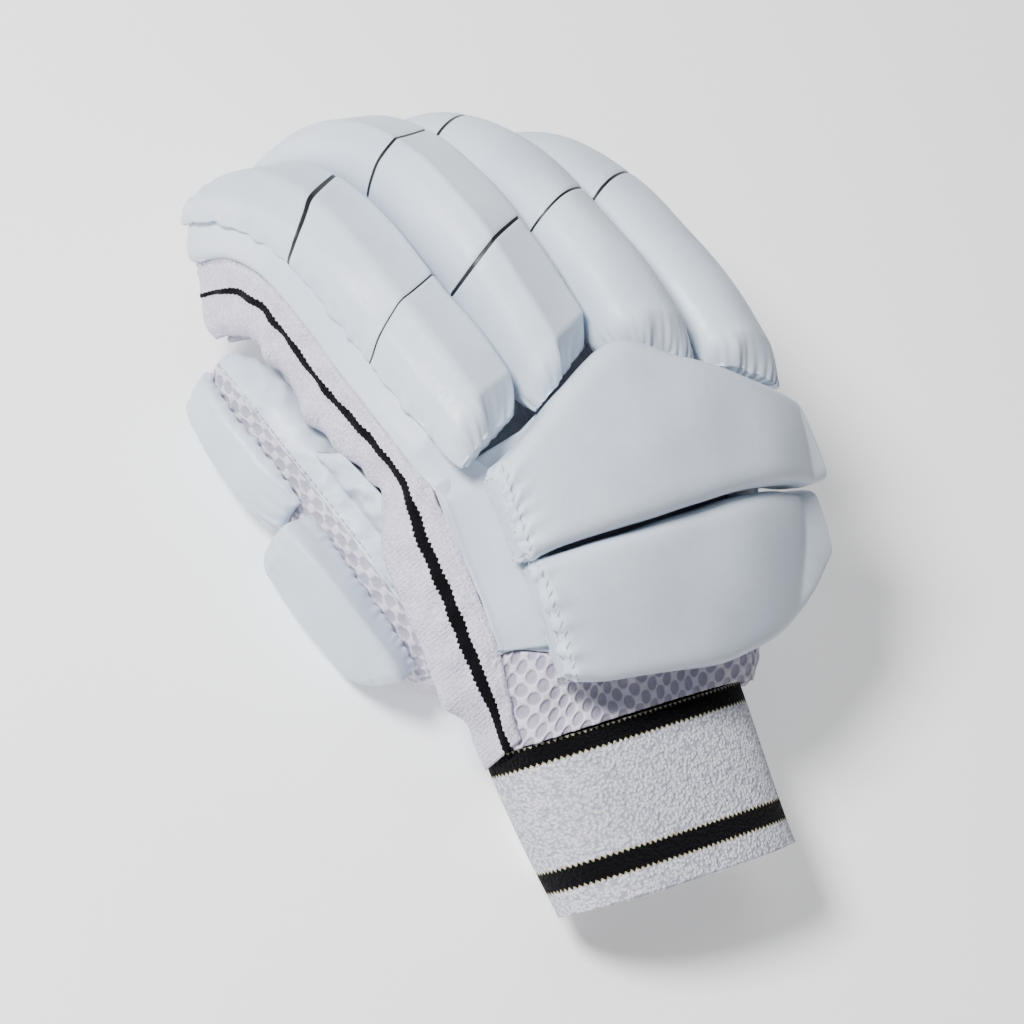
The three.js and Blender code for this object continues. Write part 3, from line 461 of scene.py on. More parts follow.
# Cotton towelling: short loops about a millimetre apart over fine ribs, a faint
# lilac white with a soft sheen, and one knitted black stripe with jagged edges.
def towellingCloth(name, stripe):
    m = newMaterial(name)
    cloth = addNode(m, "UVMap", {"uv_map": "fabricMm"}, output="UV")
    loops = addNode(m, "TexVoronoi", {"Scale": 1 / 0.9, "Randomness": 0.8}, {"Vector": cloth},
                    "Distance")
    fuzz = addNode(m, "TexNoise", {"Scale": 1 / 0.6, "Detail": 4.0, "Roughness": 0.7},
                   {"Vector": cloth})
    patch = addNode(m, "TexNoise", {"Scale": 1 / 22, "Detail": 2.0}, {"Vector": cloth})
    tint = addNode(m, "Mix", {**colour, 6: srgb("#E4DFEC"), 7: srgb("#D5CFE0")}, {0: patch}, 2)
    # painted shade in the gaps between the loops
    loopGapShade = addNode(m, "MapRange", {**smooth, "From Min": 0.25, "From Max": 0.75, "To Max": 0.55},
                  {"Value": loops})
    tint = addNode(m, "Mix", {**colour, 7: srgb("#B4ABC4")}, {0: loopGapShade, 6: tint}, 2)
    rows = addNode(m, "SeparateXYZ", {}, {0: cloth}, "Y")
    rib = addNode(m, "Math", {"operation": "PINGPONG", 1: 0.7}, {0: rows})
    if stripe:
        across = addNode(m, "Attribute", {"attribute_name": "acrossMm"}, output="Fac")
        tooth = addNode(m, "Math", {"operation": "PINGPONG", 1: 0.95}, {0: rows})
        jag = addNode(m, "TexNoise", {"Scale": 1 / 1.3, "Detail": 2.0}, {"Vector": cloth})
        edge = addNode(m, "Math", {"operation": "MULTIPLY", 1: 0.9}, {0: jag})
        edge = addNode(m, "Math", {"operation": "MULTIPLY_ADD", 1: 0.55}, {0: tooth, 2: edge})
        middle = addNode(m, "Math", {"operation": "ABSOLUTE"}, {0: across})
        width = addNode(m, "Math", {"operation": "ADD"}, {0: middle, 1: edge})
        dark = addNode(m, "MapRange", {**falling, "From Min": 2.35, "From Max": 2.5},
                       {"Value": width})
        tint = addNode(m, "Mix", {**colour, 7: srgb("#050408")}, {0: dark, 6: tint}, 2)
    height = addNode(m, "Math", {"operation": "MULTIPLY_ADD", 1: -0.8}, {0: loops, 2: fuzz})
    height = addNode(m, "Math", {"operation": "MULTIPLY_ADD", 1: 0.35}, {0: rib, 2: height})
    bump = addNode(m, "Bump", {"Strength": 0.8, "Distance": 0.0006}, {"Height": height})
    shader = addNode(m, "BsdfPrincipled", {
        "Roughness": 0.92, "Sheen Weight": 0.02, "Sheen Roughness": 0.5, "IOR": 1.2},
        {"Base Color": tint, "Normal": bump})
    addNode(m, "OutputMaterial", {}, {"Surface": shader})
    return m


# Looped elastic knit: crowded white loops with grey shade between them and two
# black bands, whose saw edges show the stitches, with a faint straw fringe.
def bandedKnit(name, bands):
    m = newMaterial(name)
    cloth = addNode(m, "UVMap", {"uv_map": "fabricMm"}, output="UV")
    column = addNode(m, "SeparateXYZ", {}, {0: cloth}, "X")
    row = addNode(m, "SeparateXYZ", {}, {0: cloth}, "Y")
    loops = addNode(m, "TexVoronoi", {"Scale": 1 / 1.2, "Randomness": 0.95}, {"Vector": cloth},
                    "Distance")
    fuzz = addNode(m, "TexNoise", {"Scale": 1 / 0.8, "Detail": 5.0, "Roughness": 0.75},
                   {"Vector": cloth})
    # painted shade in the gaps between the loops
    loopGapShade = addNode(m, "MapRange", {**smooth, "From Min": 0.25, "From Max": 0.8, "To Max": 0.75},
                  {"Value": loops})
    tint = addNode(m, "Mix", {**colour, 6: srgb("#ECEBF4"), 7: srgb("#9FA0B6")}, {0: loopGapShade}, 2)
    tooth = addNode(m, "Math", {"operation": "PINGPONG", 1: 1.0}, {0: column})
    wander = addNode(m, "Math", {"operation": "MULTIPLY_ADD", 1: 1.5, 2: -0.75}, {0: fuzz})
    saw = addNode(m, "Math", {"operation": "MULTIPLY_ADD", 1: 1.1}, {0: tooth, 2: wander})
    for middle, half in bands:
        away = addNode(m, "Math", {"operation": "SUBTRACT", 1: middle}, {0: row})
        away = addNode(m, "Math", {"operation": "ABSOLUTE"}, {0: away})
        away = addNode(m, "Math", {"operation": "ADD"}, {0: away, 1: saw})
        straw = addNode(m, "MapRange", {**smooth, "From Min": half + 0.55, "From Max": half + 1.15,
                                        "To Min": 0.8, "To Max": 0.0}, {"Value": away})
        tint = addNode(m, "Mix", {**colour, 7: srgb("#A9A05C")}, {0: straw, 6: tint}, 2)
        dark = addNode(m, "MapRange", {**falling, "From Min": half + 0.3, "From Max": half + 0.6},
                       {"Value": away})
        tint = addNode(m, "Mix", {**colour, 7: srgb("#040407")}, {0: dark, 6: tint}, 2)
    height = addNode(m, "Math", {"operation": "MULTIPLY_ADD", 1: -1.2}, {0: loops, 2: fuzz})
    bump = addNode(m, "Bump", {"Strength": 1.0, "Distance": 0.001}, {"Height": height})
    shader = addNode(m, "BsdfPrincipled", {
        "Roughness": 0.95, "Sheen Weight": 0.02, "Sheen Roughness": 0.5, "IOR": 1.2},
        {"Base Color": tint, "Normal": bump})
    addNode(m, "OutputMaterial", {}, {"Surface": shader})
    return m


# Polyester spacer mesh: satin ribs round open cells, with painted shade
# at the bottom of each cell.
def spacerMesh(name):
    m = newMaterial(name)
    cloth = addNode(m, "UVMap", {"uv_map": "fabricMm"}, output="UV")
    cell = addNode(m, "Attribute", {"attribute_name": "cell"}, output="Fac")
    yarn = addNode(m, "TexNoise", {"Scale": 1 / 0.5, "Detail": 3.0, "Roughness": 0.6},
                   {"Vector": cloth})
    knit = addNode(m, "TexVoronoi", {"Scale": 1 / 0.7}, {"Vector": cloth}, "Distance")
    tint = addNode(m, "Mix", {**colour, 6: srgb("#E3DFEA"), 7: srgb("#CFC9D9")}, {0: yarn}, 2)
    # painted shade at the bottom of each open cell
    deep = addNode(m, "MapRange", {**smooth, "From Min": 0.2, "From Max": 0.7}, {"Value": cell})
    tint = addNode(m, "Mix", {**colour, 7: srgb("#ABA6B8")}, {0: deep, 6: tint}, 2)
    height = addNode(m, "Math", {"operation": "MULTIPLY_ADD", 1: -0.8}, {0: knit, 2: yarn})
    bump = addNode(m, "Bump", {"Strength": 0.5, "Distance": 0.0004}, {"Height": height})
    shader = addNode(m, "BsdfPrincipled", {
        "Roughness": 0.8, "Sheen Weight": 0.2, "Sheen Roughness": 0.4, "IOR": 1.5},
        {"Base Color": tint, "Normal": bump})
    addNode(m, "OutputMaterial", {}, {"Surface": shader})
    return m


# Moulded soft plastic with a fine sparked texture, warm white and half matt.
def mouldedPlastic(name):
    m = newMaterial(name)
    place = addNode(m, "TexCoord", output="Object")
    spark = addNode(m, "TexNoise", {"Scale": 1000 / 0.8, "Detail": 3.0}, {"Vector": place})
    cloud = addNode(m, "TexNoise", {"Scale": 1000 / 25, "Detail": 2.0}, {"Vector": place})
    tint = addNode(m, "Mix", {**colour, 6: srgb("#E2E2DD"), 7: srgb("#D6D6D0")}, {0: cloud}, 2)
    bump = addNode(m, "Bump", {"Strength": 0.25, "Distance": 0.0002}, {"Height": spark})
    shader = addNode(m, "BsdfPrincipled", {"Roughness": 0.5, "IOR": 1.5},
                     {"Base Color": tint, "Normal": bump})
    addNode(m, "OutputMaterial", {}, {"Surface": shader})
    return m


# Spun polyester thread: a two-ply twist that catches a little light.
def sewingThread(name, light):
    m = newMaterial(name)
    place = addNode(m, "TexCoord", output="Object")
    ply = addNode(m, "TexNoise", {"Scale": 1000 / 0.4, "Detail": 2.0}, {"Vector": place})
    tint = addNode(m, "Mix", {**colour, 6: srgb(light), 7: srgb("#9A9DAA")}, {0: ply}, 2)
    bump = addNode(m, "Bump", {"Strength": 0.4, "Distance": 0.0001}, {"Height": ply})
    shader = addNode(m, "BsdfPrincipled", {"Roughness": 0.6}, {"Base Color": tint, "Normal": bump})
    addNode(m, "OutputMaterial", {}, {"Surface": shader})
    return m


cuffBands = [(12.4, 3.7), (55.4, 3.3)]  # mm from the hem to the middle, half width
leather = paintedLeather("white_pu_leather", "#CFD8E4", "#C4CFDD", 0.42)
cloth = towellingCloth("striped_towelling", True)
pipingCloth = towellingCloth("towelling_piping", False)
knit = bandedKnit("banded_terry_knit", cuffBands)
airMesh = spacerMesh("polyester_spacer_mesh")
plastic = mouldedPlastic("moulded_strap_plastic")
thread = sewingThread("white_sewing_thread", "#CFD1D9")
print("materials made")

# Stitches

stitch = {
    "pitch": 3.1, "length": 2.3, "radius": 0.34, "around": 6, "widest": 1.3,
    # rings: share of the length, thickness and lift in radii
    "rings": [(-0.5, 0.35, -0.2), (-0.3, 0.95, 0.1), (0.3, 0.95, 0.1), (0.5, 0.35, -0.2)],
}


def alongPath(path, normal, pitch):
    # places an even pitch apart on a line, with the line's direction and the normal there
    length = np.concatenate([[0], np.cumsum(np.linalg.norm(np.diff(path, axis=0), axis=1))])
    at = np.arange(pitch / 2, length[-1], pitch)
    place = np.stack([np.interp(at, length, path[:, k]) for k in range(3)], 1)
    ahead = np.stack([np.interp(at + 0.4, length, path[:, k]) for k in range(3)], 1)
    behind = np.stack([np.interp(at - 0.4, length, path[:, k]) for k in range(3)], 1)
    up = unit(np.stack([np.interp(at, length, normal[:, k]) for k in range(3)], 1))
    return place, unit(ahead - behind), up


def stitchRow(path, normal, scale=1.0, slant=0.0):
    # each stitch a short six-sided bar, thin at both ends, sunk a little in the cloth
    place, forward, up = alongPath(path, normal, stitch["pitch"] * scale)
    side = unit(np.cross(forward, up))
    forward = unit(forward + side * slant)
    side = unit(np.cross(forward, up))
    rings, around = np.array(stitch["rings"])[:, None], stitch["around"]
    a = np.linspace(0, 2 * np.pi, around, endpoint=False)
    radius = stitch["radius"] * min(scale, stitch["widest"])
    along = rings[..., 0] * stitch["length"] * scale + 0 * a
    out = rings[..., 1] * radius * np.cos(a)
    high = rings[..., 1] * radius * np.sin(a) + rings[..., 2] * radius
    place, forward, side, up = (v[:, None, None] for v in (place, forward, side, up))
    points = place + forward * along[..., None] + side * out[..., None] + up * high[..., None]
    caps = points[:, [0, -1]].mean(2)
    count, size = len(points), len(rings) * around + 2
    flat = np.concatenate([points.reshape(count, -1, 3), caps], 1).reshape(-1, 3)
    faces = squares(len(rings), around, True)[0]
    j = np.arange(around)
    k = (j + 1) % around
    first, last = np.full(around, size - 2), np.full(around, size - 1)
    lastRing = size - 2 - around
    ends = np.concatenate([np.stack([first, k, j], 1),
                           np.stack([last, lastRing + j, lastRing + k], 1)])
    shift = (np.arange(count) * size)[:, None, None]
    quads, fans = (faces[None] + shift).reshape(-1, 4), (ends[None] + shift).reshape(-1, 3)
    uv = np.broadcast_to(np.array([[0, 0], [1, 0], [1, 1], [0, 1]], float), (len(quads), 4, 2))
    return part(flat, quads, uv, {}, fans)


# Finger rolls

# corner: across in half widths, high between underside and crest, turning radius mm
ridgedLeft = [(-0.72, 0.0, 4), (-0.99, 0.14, 6), (-1.02, 0.46, 9), (-0.86, 0.8, 9)]
flatRight = [(0.98, 0.1, 5), (0.72, 0.0, 4)]
roundSection = [
    (-0.72, 0.0, 4), (-0.97, 0.12, 6), (-1.03, 0.48, 10), (-0.84, 0.84, 9), (-0.34, 1.03, 6),
    (0.3, 1.02, 10), (0.84, 0.82, 9), (1.02, 0.46, 9), (0.96, 0.12, 6), (0.72, 0.0, 4)]
# lines: mm from the heel and how far the right end runs ahead, mm per half width
rolls = {
    "index": {
        "section": ridgedLeft + [(-0.42, 0.93, 9), (0.1, 1.05, 1.2), (1.02, 0.88, 2.4),
                                 (1.05, 0.52, 5)] + flatRight,
        "facet": (0.0, 0.2), "left": (0.66, 0.95), "outer": -1, "toe": 0.5, "slant": 0.3,
        "lines": [(52.0, 8.5), (93.5, 5.0)], "bevel": 0.42},
    "middle": {
        "section": ridgedLeft + [(-0.62, 0.93, 8), (-0.18, 1.05, 1.2), (1.0, 0.82, 2.4),
                                 (1.06, 0.46, 5)] + flatRight,
        "facet": (-0.25, -0.05), "left": (0.84, 0.95), "outer": 0, "toe": 1.0, "slant": 0.45,
        "lines": [(45.0, 4.0), (84.5, 3.0)], "bevel": 0.42},
    "ring": {
        "section": roundSection, "facet": (-0.4, 0.0), "left": (1,
                1), "outer": 0, "toe": 1.0, "slant": -0.5,
        "lines": [(56.5, 4.0), (98.0, 3.0)], "bevel": 0.28},
    "little": {
        "section": roundSection, "facet": (-0.4, 0.0), "left": (1,
                1), "outer": 1, "toe": 1.0, "slant": -0.42,
        "lines": [(76.0, 4.0)], "bevel": 0.28},
}
rollMesh = {
    "around": 112, "step": 1.05, "toe": 12.9, "faceRings": 8, "toeRings": 26,
    "lineRings": np.arange(-9, 9.2, 0.35),  # extra rings about a painted line, mm from it
    "usual": np.array([17.5, 25.0]),  # half width and height that turn the radii into shares
}


def rollSurface(finger):
    # rings of the roll's section stood across the finger: width and height from the
    # rows, squeezed towards a seam at each end, then relief along the normal
    spec, rows = rolls[finger], fingerRows[finger]
    t, length = lengthTable(rows)
    total = length[-1]
    toe = rollMesh["toe"] * spec["toe"]
    body = np.arange(0, total, rollMesh["step"])
    marks = np.concatenate([line + rollMesh["lineRings"] for line, lean in spec["lines"]])
    past = total + toe * np.sin(np.linspace(0, 1, rollMesh["toeRings"]) * np.pi / 2)
    front = rollMesh["faceRings"]
    along = np.concatenate([np.zeros(front), np.sort(np.concatenate([body, marks])), past])
    reach = np.clip((along - total) / toe, 0, 1)
    size = 1 - 0.28 * (1 - np.clip(along / 9, 0, 1)) ** 2.2
    size = size * (1 - reach ** 2.6) ** 0.5
    size[:front] = np.sin(np.linspace(0.02, 1, front) * np.pi / 2) * 0.72
    at = spread(fingerFrame(rows, np.interp(np.minimum(along, total), length, t)))
    section = roundedLoop(spec["section"], rollMesh["usual"], rollMesh["around"])
    across, high = section[None, :, 0], section[None, :, 1]
    row = at["row"]
    size, l = size[:, None], along[:, None]
    if spec["outer"]:
        side = across * spec["outer"]
        lift = ramp(side, 0.4, 0.62) * ramp(0.34 - high, 0, 0.1)
        high = mix(high, mix(0.36, 0.08, np.clip((0.93 - side) / 0.3, 0, 1)), lift)
        across = across * mix(1, 0.88, lift)
    # bevelled heel: the flat facet folds down, the round side turns over
    fold = np.clip(1 - l / 11.5, 0, 1)
    facet = ramp(across, *spec["facet"])
    drop = spec["bevel"] * fold * facet + 0.16 * fold ** 2 * (1 - facet)
    high = high * (1 - drop * ramp(high, 0.35, 0.8))
    tall = row[..., 4] - row[..., 5]
    narrow = mix(*spec["left"], ramp(l, 70, 120))
    half = np.where(across < 0, row[..., 6] * narrow, row[..., 7])
    up = row[..., 5] + tall * mix(0.4, high, size) * mix(0.9, 1, size)
    out = across * half * mix(0.55, 1, size)
    skew = spec["slant"] * np.clip(1 - l / 45, 0, 1) ** 1.3
    points = inFrame(at, out, up, np.maximum(l - total, 0) + skew * out)
    top = ramp(high, 0.3, 0.75)
    nearest = np.min([np.abs(l - line - lean * across) for line, lean in spec["lines"]], 0)
    edges = [0] + [line for line, lean in spec["lines"]] + [total + toe]
    swell = 0
    for a, b in zip(edges, edges[1:]):
        swell = swell + np.where((l >= a) & (l < b),
                                 np.sin(np.pi * np.clip((l - a) / (b - a), 0, 1)), 0)
    relief = 0.45 * swell * top - 0.5 * np.exp(-(nearest / 0.8) ** 2) * top
    turn = np.linspace(0, 118, rollMesh["around"])[None, :]
    seed = fingerNames.index(finger) + 3
    relief = relief + 0.16 * waves(l, turn, 26, seed) * ramp(l, 4, 14)
    gather = np.exp(-((l - total - toe) / 9.0) ** 2) + 0.7 * np.exp(-(l / 7.0) ** 2)
    relief = relief + 0.35 * gather * waves(l * 0.25, turn, 4.6, seed + 20)
    if spec["outer"]:
        low = ramp(across * spec["outer"], 0.55, 0.9) * np.exp(-((high - 0.34) / 0.22) ** 2)
        relief = relief + 0.5 * low * waves(l, turn * 0.3, 6.5, seed + 40) * ramp(l, 6, 20)
    relief = relief * (size > 0.2)
    points = raised(points, relief, section, at["up"][:, 0])[0]
    return points, {"inkMm": nearest + 5 * (1 - ramp(high + 0 * l, 0.24, 0.3))}


for finger in fingerNames:
    points, values = rollSurface(finger)
    buildPiece(f"{finger}Roll", [tube(points, values)], leather, [f"roll_{finger}"])
print("finger rolls made")

# Pads on the back of the hand

# x, front edge y, back edge y, thickness
handPads = {
    "knucklePad": {
        "node": "knuckle_pad", "seed": 11,
        "rows": np.array([
            [-57, -68.5, -97, 21], [-44, -63.5, -99, 24], [-24, -56, -101, 26],
            [-3, -50, -102.5, 27], [18, -61, -103.5, 26], [40, -72.5, -104.5, 24],
            [60, -80, -106, 20]])},
    "wristPad": {
        "node": "wrist_pad", "seed": 12,
        "rows": np.array([
            [-56, -98.5, -133, 19], [-44, -100.5, -139, 21], [-24, -102.5, -144, 21],
            [-3, -104, -147, 20], [18, -105, -144, 20], [40, -106, -137, 19],
            [57, -107.5, -128, 16]])},
}
padMesh = {
    "along": 120, "around": 110, "cap": 6, "seamRing": 20, "seamPoints": slice(22, 96), "rowMm": 14,
    "usual": np.array([38.0, 24.0]),  # width and thickness that turn the radii into shares
}
# corner: share from front to back, share of the thickness, turning radius mm
padSection = [
    (0.05, 0.0, 3), (-0.005, 0.3, 5), (0.0, 0.86, 3.4), (0.07, 1.01, 3.4), (0.5, 1.03, 12),
    (0.93, 1.01, 3.4), (1.0, 0.86, 3.4), (1.005, 0.3, 5), (0.95, 0.0, 3)]


def backPoint(t, s):
    # edge line across the hand, raised by 1 - |2s - 1|^power towards the middle
    row = curveAt(backRows, t)
    edge = mix(row[..., 2], row[..., 4], s)
    swell = 1 - np.abs(2 * s - 1) ** row[..., 6]
    x = mix(row[..., 1], row[..., 3], s)
    return np.stack([x, row[..., 0] + 0 * s, edge + (row[..., 5] - edge) * swell], -1)


def backAt(x, y):
    # point of the back below a place x, y, and its outward normal
    last = len(backRows) - 1
    t = rowWhere(backRows, 0, y)
    row = curveAt(backRows, t)
    s = np.clip((x - row[..., 1]) / (row[..., 3] - row[..., 1]), 0.02, 0.98)
    point = backPoint(t, s)
    along = backPoint(np.clip(t + 0.1, 0, last), s) - backPoint(np.clip(t - 0.1, 0, last), s)
    across = backPoint(t, np.clip(s + 0.04, 0, 1)) - backPoint(t, np.clip(s - 0.04, 0, 1))
    point[..., 0] = x
    return point, unit(np.cross(across, along))


def padSurface(spec):
    # the section laid from front to back edge, carried across the hand on the back
    # leather's curve, drawn in to a seam at each end
    rows = spec["rows"]
    last = len(rows) - 1
    cap, around = padMesh["cap"], padMesh["around"]
    eased = 0.5 * last * (1 - np.cos(np.pi * np.linspace(0, 1, padMesh["along"])))
    t = np.concatenate([np.zeros(cap), eased, np.full(cap, last)])
    size = 1 - 0.36 * (1 - np.clip(t / 0.34, 0, 1)) ** 2.2 - 0.1 * (1
            - np.clip((last - t) / 0.14, 0, 1)) ** 2
    size[:cap] = np.linspace(0.02, 0.6, cap)
    size[-cap:] = np.linspace(0.86, 0.02, cap)
    section = roundedLoop(padSection, padMesh["usual"], around)
    row = curveAt(rows, t)
    size = size[:, None]
    share = mix(0.5, section[None, :, 0], mix(0.8, 1, size))
    y = mix(row[:, 1][:, None], row[:, 2][:, None], share)
    x = row[:, 0][:, None] + 0 * y
    point, normal = backAt(x, y)
    lift = walls["leather"] / 2 + walls["padLift"] + row[:, 3][:, None] * mix(0.4,
            section[None, :, 1], size)
    points = point + normal * lift[..., None]
    end = t[:, None] * padMesh["rowMm"]
    turn = np.linspace(0, 120, around)[None, :]
    relief = 0.22 * waves(x, y, 30, spec["seed"])
    relief = relief + 0.5 * np.exp(-(end / 6.0) ** 2) * waves(end * 0.3, turn, 6.4,
            spec["seed"] + 9)
    relief = relief + 0.35 * np.exp(-(end / 4.0) ** 2) * waves(end, turn, 3.2, spec["seed"] + 14)
    relief = relief - 0.9 * np.exp(-((end - 1.6) / 0.9) ** 2)
    inside = (np.arange(len(t)) >= cap) & (np.arange(len(t)) < len(t) - cap)
    relief = relief * inside[:, None]
    return raised(points, relief, section, normal[:, around // 2])


padStitches = []
for name, spec in handPads.items():
    points, normal = padSurface(spec)
    buildPiece(name, [tube(points, noInk)], leather, [spec["node"]])
    ring, top = padMesh["seamRing"], padMesh["seamPoints"]
    padStitches.append(stitchRow(points[ring, top], normal[ring, top], 1.25, 0.9))
print("hand pads made")

# Leather on the back of the hand, with the strips beside index and little finger

backSheet = {"start": -130, "rows": 60, "columns": 120}
strips = {
    "index": {"side": -1, "wrap": 105, "slim": 0.72},
    "little": {"side": 1, "wrap": 0, "slim": 1.0},
}
# height above the finger's middle at which a strip starts, and how tall it is there
stripBand = {"bottom": 12.0, "tall": 16}
# strip profile: share of the width, height above the finger's middle
stripProfile = np.array([[0.955, 12.0], [1.02, 14.0], [0.99, 17.4], [0.9, 20.8], [0.8, 24.4],
                         [0.68, 28.0]])


def backEdge(s):
    # y of the sheet's lower edge, drawn up towards both side walls
    return backSheet["start"] + 11 * (np.exp(-(s / 0.13) ** 2) + np.exp(-((1 - s) / 0.13) ** 2))


def backLeatherPart():
    # straight steps from the lower edge to the edge under the rolls, on the back's curve
    s = np.linspace(0, 1, backSheet["columns"])[None, :]
    last = len(backRows) - 1
    edge = curveAt(backRows, last - 1.4)
    x = mix(edge[1], edge[3], s)
    stop = rowWhere(backRows, 0, np.interp(x, leatherFront[:, 0], leatherFront[:, 1]))
    start = rowWhere(backRows, 0, backEdge(s))
    w = np.linspace(0, 1, backSheet["rows"])[:, None]
    middle = backPoint(mix(start, stop, w), s + 0 * w)
    relief = 0.3 * waves(middle[..., 0], middle[..., 1], 16, 31)
    side = np.exp(-((s + 0 * w) / 0.16) ** 2) + np.exp(-((1 - s + 0 * w) / 0.16) ** 2)
    relief = relief + 0.35 * side * waves(middle[..., 0], middle[..., 1], 6, 32, stretch=0.5)
    return shell(middle, walls["leather"], 1, outer=relief, values=noInk)


def stripPart(finger):
    # a band of leather from the wrist along the edge of the back, then up the outer
    # wall of the finger: hem rings and wall rings with straight steps between them
    spec, rows = strips[finger], fingerRows[finger]
    last = len(rows) - 1
    wide = fingerBox["half"] + 1.6
    profile = curveAt(stripProfile, np.linspace(0, len(stripProfile) - 1, 18))
    t = np.linspace(0.55, last, 150)
    at = spread(fingerFrame(rows, t))
    across, high = profile[None, :, 0], profile[None, :, 1]
    share = (high - stripBand["bottom"]) / stripBand["tall"]
    # the roll's underside rises and falls, so the strip's upper edge follows it
    roll = at["row"]
    ceiling = roll[..., 5] + (roll[..., 4] - roll[..., 5]) * 0.44
    room = np.minimum(ceiling - stripBand["bottom"], stripBand["tall"])
    tall = stripBand["bottom"] + share * room * mix(0.7, 1, ramp(t, 0.5, 2))[:, None]
    slim = mix(1, mix(spec["slim"], 1, ramp(t, 2.2, 4.4))[:, None], share)
    wall = inFrame(at, spec["side"] * across * slim * wide, tall)
    y = mix(-118 - 9 * share, -70, np.linspace(0, 1, 60)[:, None])
    edge = curveAt(backRows, rowWhere(backRows, 0, y[:, 0]))[:, 1 if spec["side"] < 0 else 3][:,
            None]
    x = edge - spec["side"] * (0.5 + 21 * share)
    hem, normal = backAt(x, y)
    hem = hem + normal * (walls["leather"] / 2 + 0.7)
    link = mix(hem[-1], wall[0], np.linspace(0, 1, 18)[1:-1, None, None])
    rings = [hem, link, wall]
    if spec["wrap"]:
        a = np.radians(np.linspace(3, spec["wrap"], 34))[:, None]
        tip = {k: v[-1:] for k, v in at.items()}
        out, reach = spec["side"] * across * wide * np.cos(a), across * (fingerBox["tip"]
                + 1) * np.sin(a)
        rings.append(inFrame(tip, out, tall[-1:] + 0 * a, reach))
    middle = np.concatenate(rings)
    l = np.linspace(0, 1.25 * len(middle), len(middle))[:, None]
    turn = share * 16 + 0 * l
    relief = 0.5 * waves(l, turn, 19, 51 + spec["side"]) + 0.25 * waves(l, turn, 7, 61)
    # two plump folds side by side near the fingertip
    folds = np.abs(np.sin(2 * np.pi * (share + 0.04 * waves(l, 0 * l, 30, 62)))) - 0.5
    puff = 1.6 * ramp(l, 190, 260) * folds
    relief = relief + 0.9 * np.sin(np.pi * share) * ramp(l, 60, 100) + puff
    return shell(middle, walls["strip"], spec["side"], outer=relief, values=noInk), middle, relief


stripShells, stripStitches = [], []
for finger, spec in strips.items():
    stripShell, middle, relief = stripPart(finger)
    normal = gridNormals(middle, False) * spec["side"]
    stripShells.append(stripShell)
    row = middle[:, 2] + normal[:, 2] * (0.75 + relief[:, 2][:, None])
    stripStitches.append(stitchRow(row, normal[:, 2]))
buildPiece("backLeather", [backLeatherPart()] + stripShells, leather, ["back_leather"])
print("back leather made")

# Side gusset

crotchRow = {f: float(rowWhere(fingerRows[f], 1, crotchY[f])) for f in fingerNames}
gusset = {
    "columns": 30, "step": 1.15, "ruffle": 1.1, "flare": 9.0, "raise": 4.5,
    # stitched for this many mm from each end, along these columns
    "thumbSeam": 240, "littleSeam": 190, "seamColumns": (26, 28),
}


def gussetLine():
    # stations round the hand: place, upward direction and half height
    place, upward, half = [], [], []

    def rail(rows):
        t = np.linspace(0, len(rows) - 1, 40)
        row = curveAt(rows, t)
        lean = np.radians(row[:, 3])
        place.append(row[:, :3])
        upward.append(np.stack([np.sin(lean), 0 * lean, np.cos(lean)], 1))
        half.append(row[:, 4])

    wall = fingerBox["half"] - walls["cloth"] / 2
    rail(thumbSideRows)
    for n, finger in enumerate(fingerNames):
        rows = fingerRows[finger]
        last = len(rows) - 1
        for side, turned in ((-1, False), (1, True)):
            outer = (n == 0 and side < 0) or (n == 3 and side > 0)
            t = np.linspace(0.35 if outer else crotchRow[finger], last, 50)
            t = t[::-1] if turned else t
            at = fingerFrame(rows, t)
            if turned:
                a = np.radians(np.linspace(8, 172, 18))
                tip = {k: v[:1] for k, v in at.items()}
                place.append(inFrame(tip, -wall * np.cos(a), 0 * a,
                                     (fingerBox["tip"] - 1.2) * np.sin(a)))
                upward.append(np.repeat(tip["up"], len(a), 0))
                half.append(np.full(len(a), fingerBox["gusset"]))
            place.append(inFrame(at, side * wall, np.zeros(len(t))))
            upward.append(at["up"])
            half.append(np.full(len(t), fingerBox["gusset"]))
        if n < 3:
            nextRows = fingerRows[fingerNames[n + 1]]
            there = fingerFrame(nextRows, crotchRow[fingerNames[n + 1]])
            u = np.linspace(0.2, 0.8, 4)[:, None]
            link = mix(place[-1][-1], there["middle"] - there["side"] * wall, u)
            link[:, 1] -= 2 * np.sin(np.pi * u[:, 0])
            place.append(link)
            upward.append(unit(mix(upward[-1][-1], there["up"], u)))
            half.append(mix(fingerBox["gusset"], fingerBox["gusset"] - 3.4,
                            np.sin(np.pi * u[:, 0])))
    rail(littleSideRows)
    place, upward, half = np.concatenate(place), np.concatenate(upward), np.concatenate(half)
    length = np.concatenate([[0], np.cumsum(np.linalg.norm(np.diff(place, axis=0), axis=1))])
    keep = np.concatenate([[True], np.diff(length) > 1e-4])
    length, place, upward, half = length[keep], place[keep], upward[keep], half[keep]
    l = np.arange(0, length[-1], gusset["step"])
    even = [np.stack([np.interp(l, length, block[:, k]) for k in range(3)], 1)
            for block in (place, upward)]
    return l, even[0], unit(even[1]), np.interp(l, length, half)


def flareAt(x, y):
    # share of the flare over the thumb's root: full at mid hand, nothing at the ends
    return ramp(-x, 60, 68) * ramp(y, -141, -112) * ramp(-y, 44, 76)


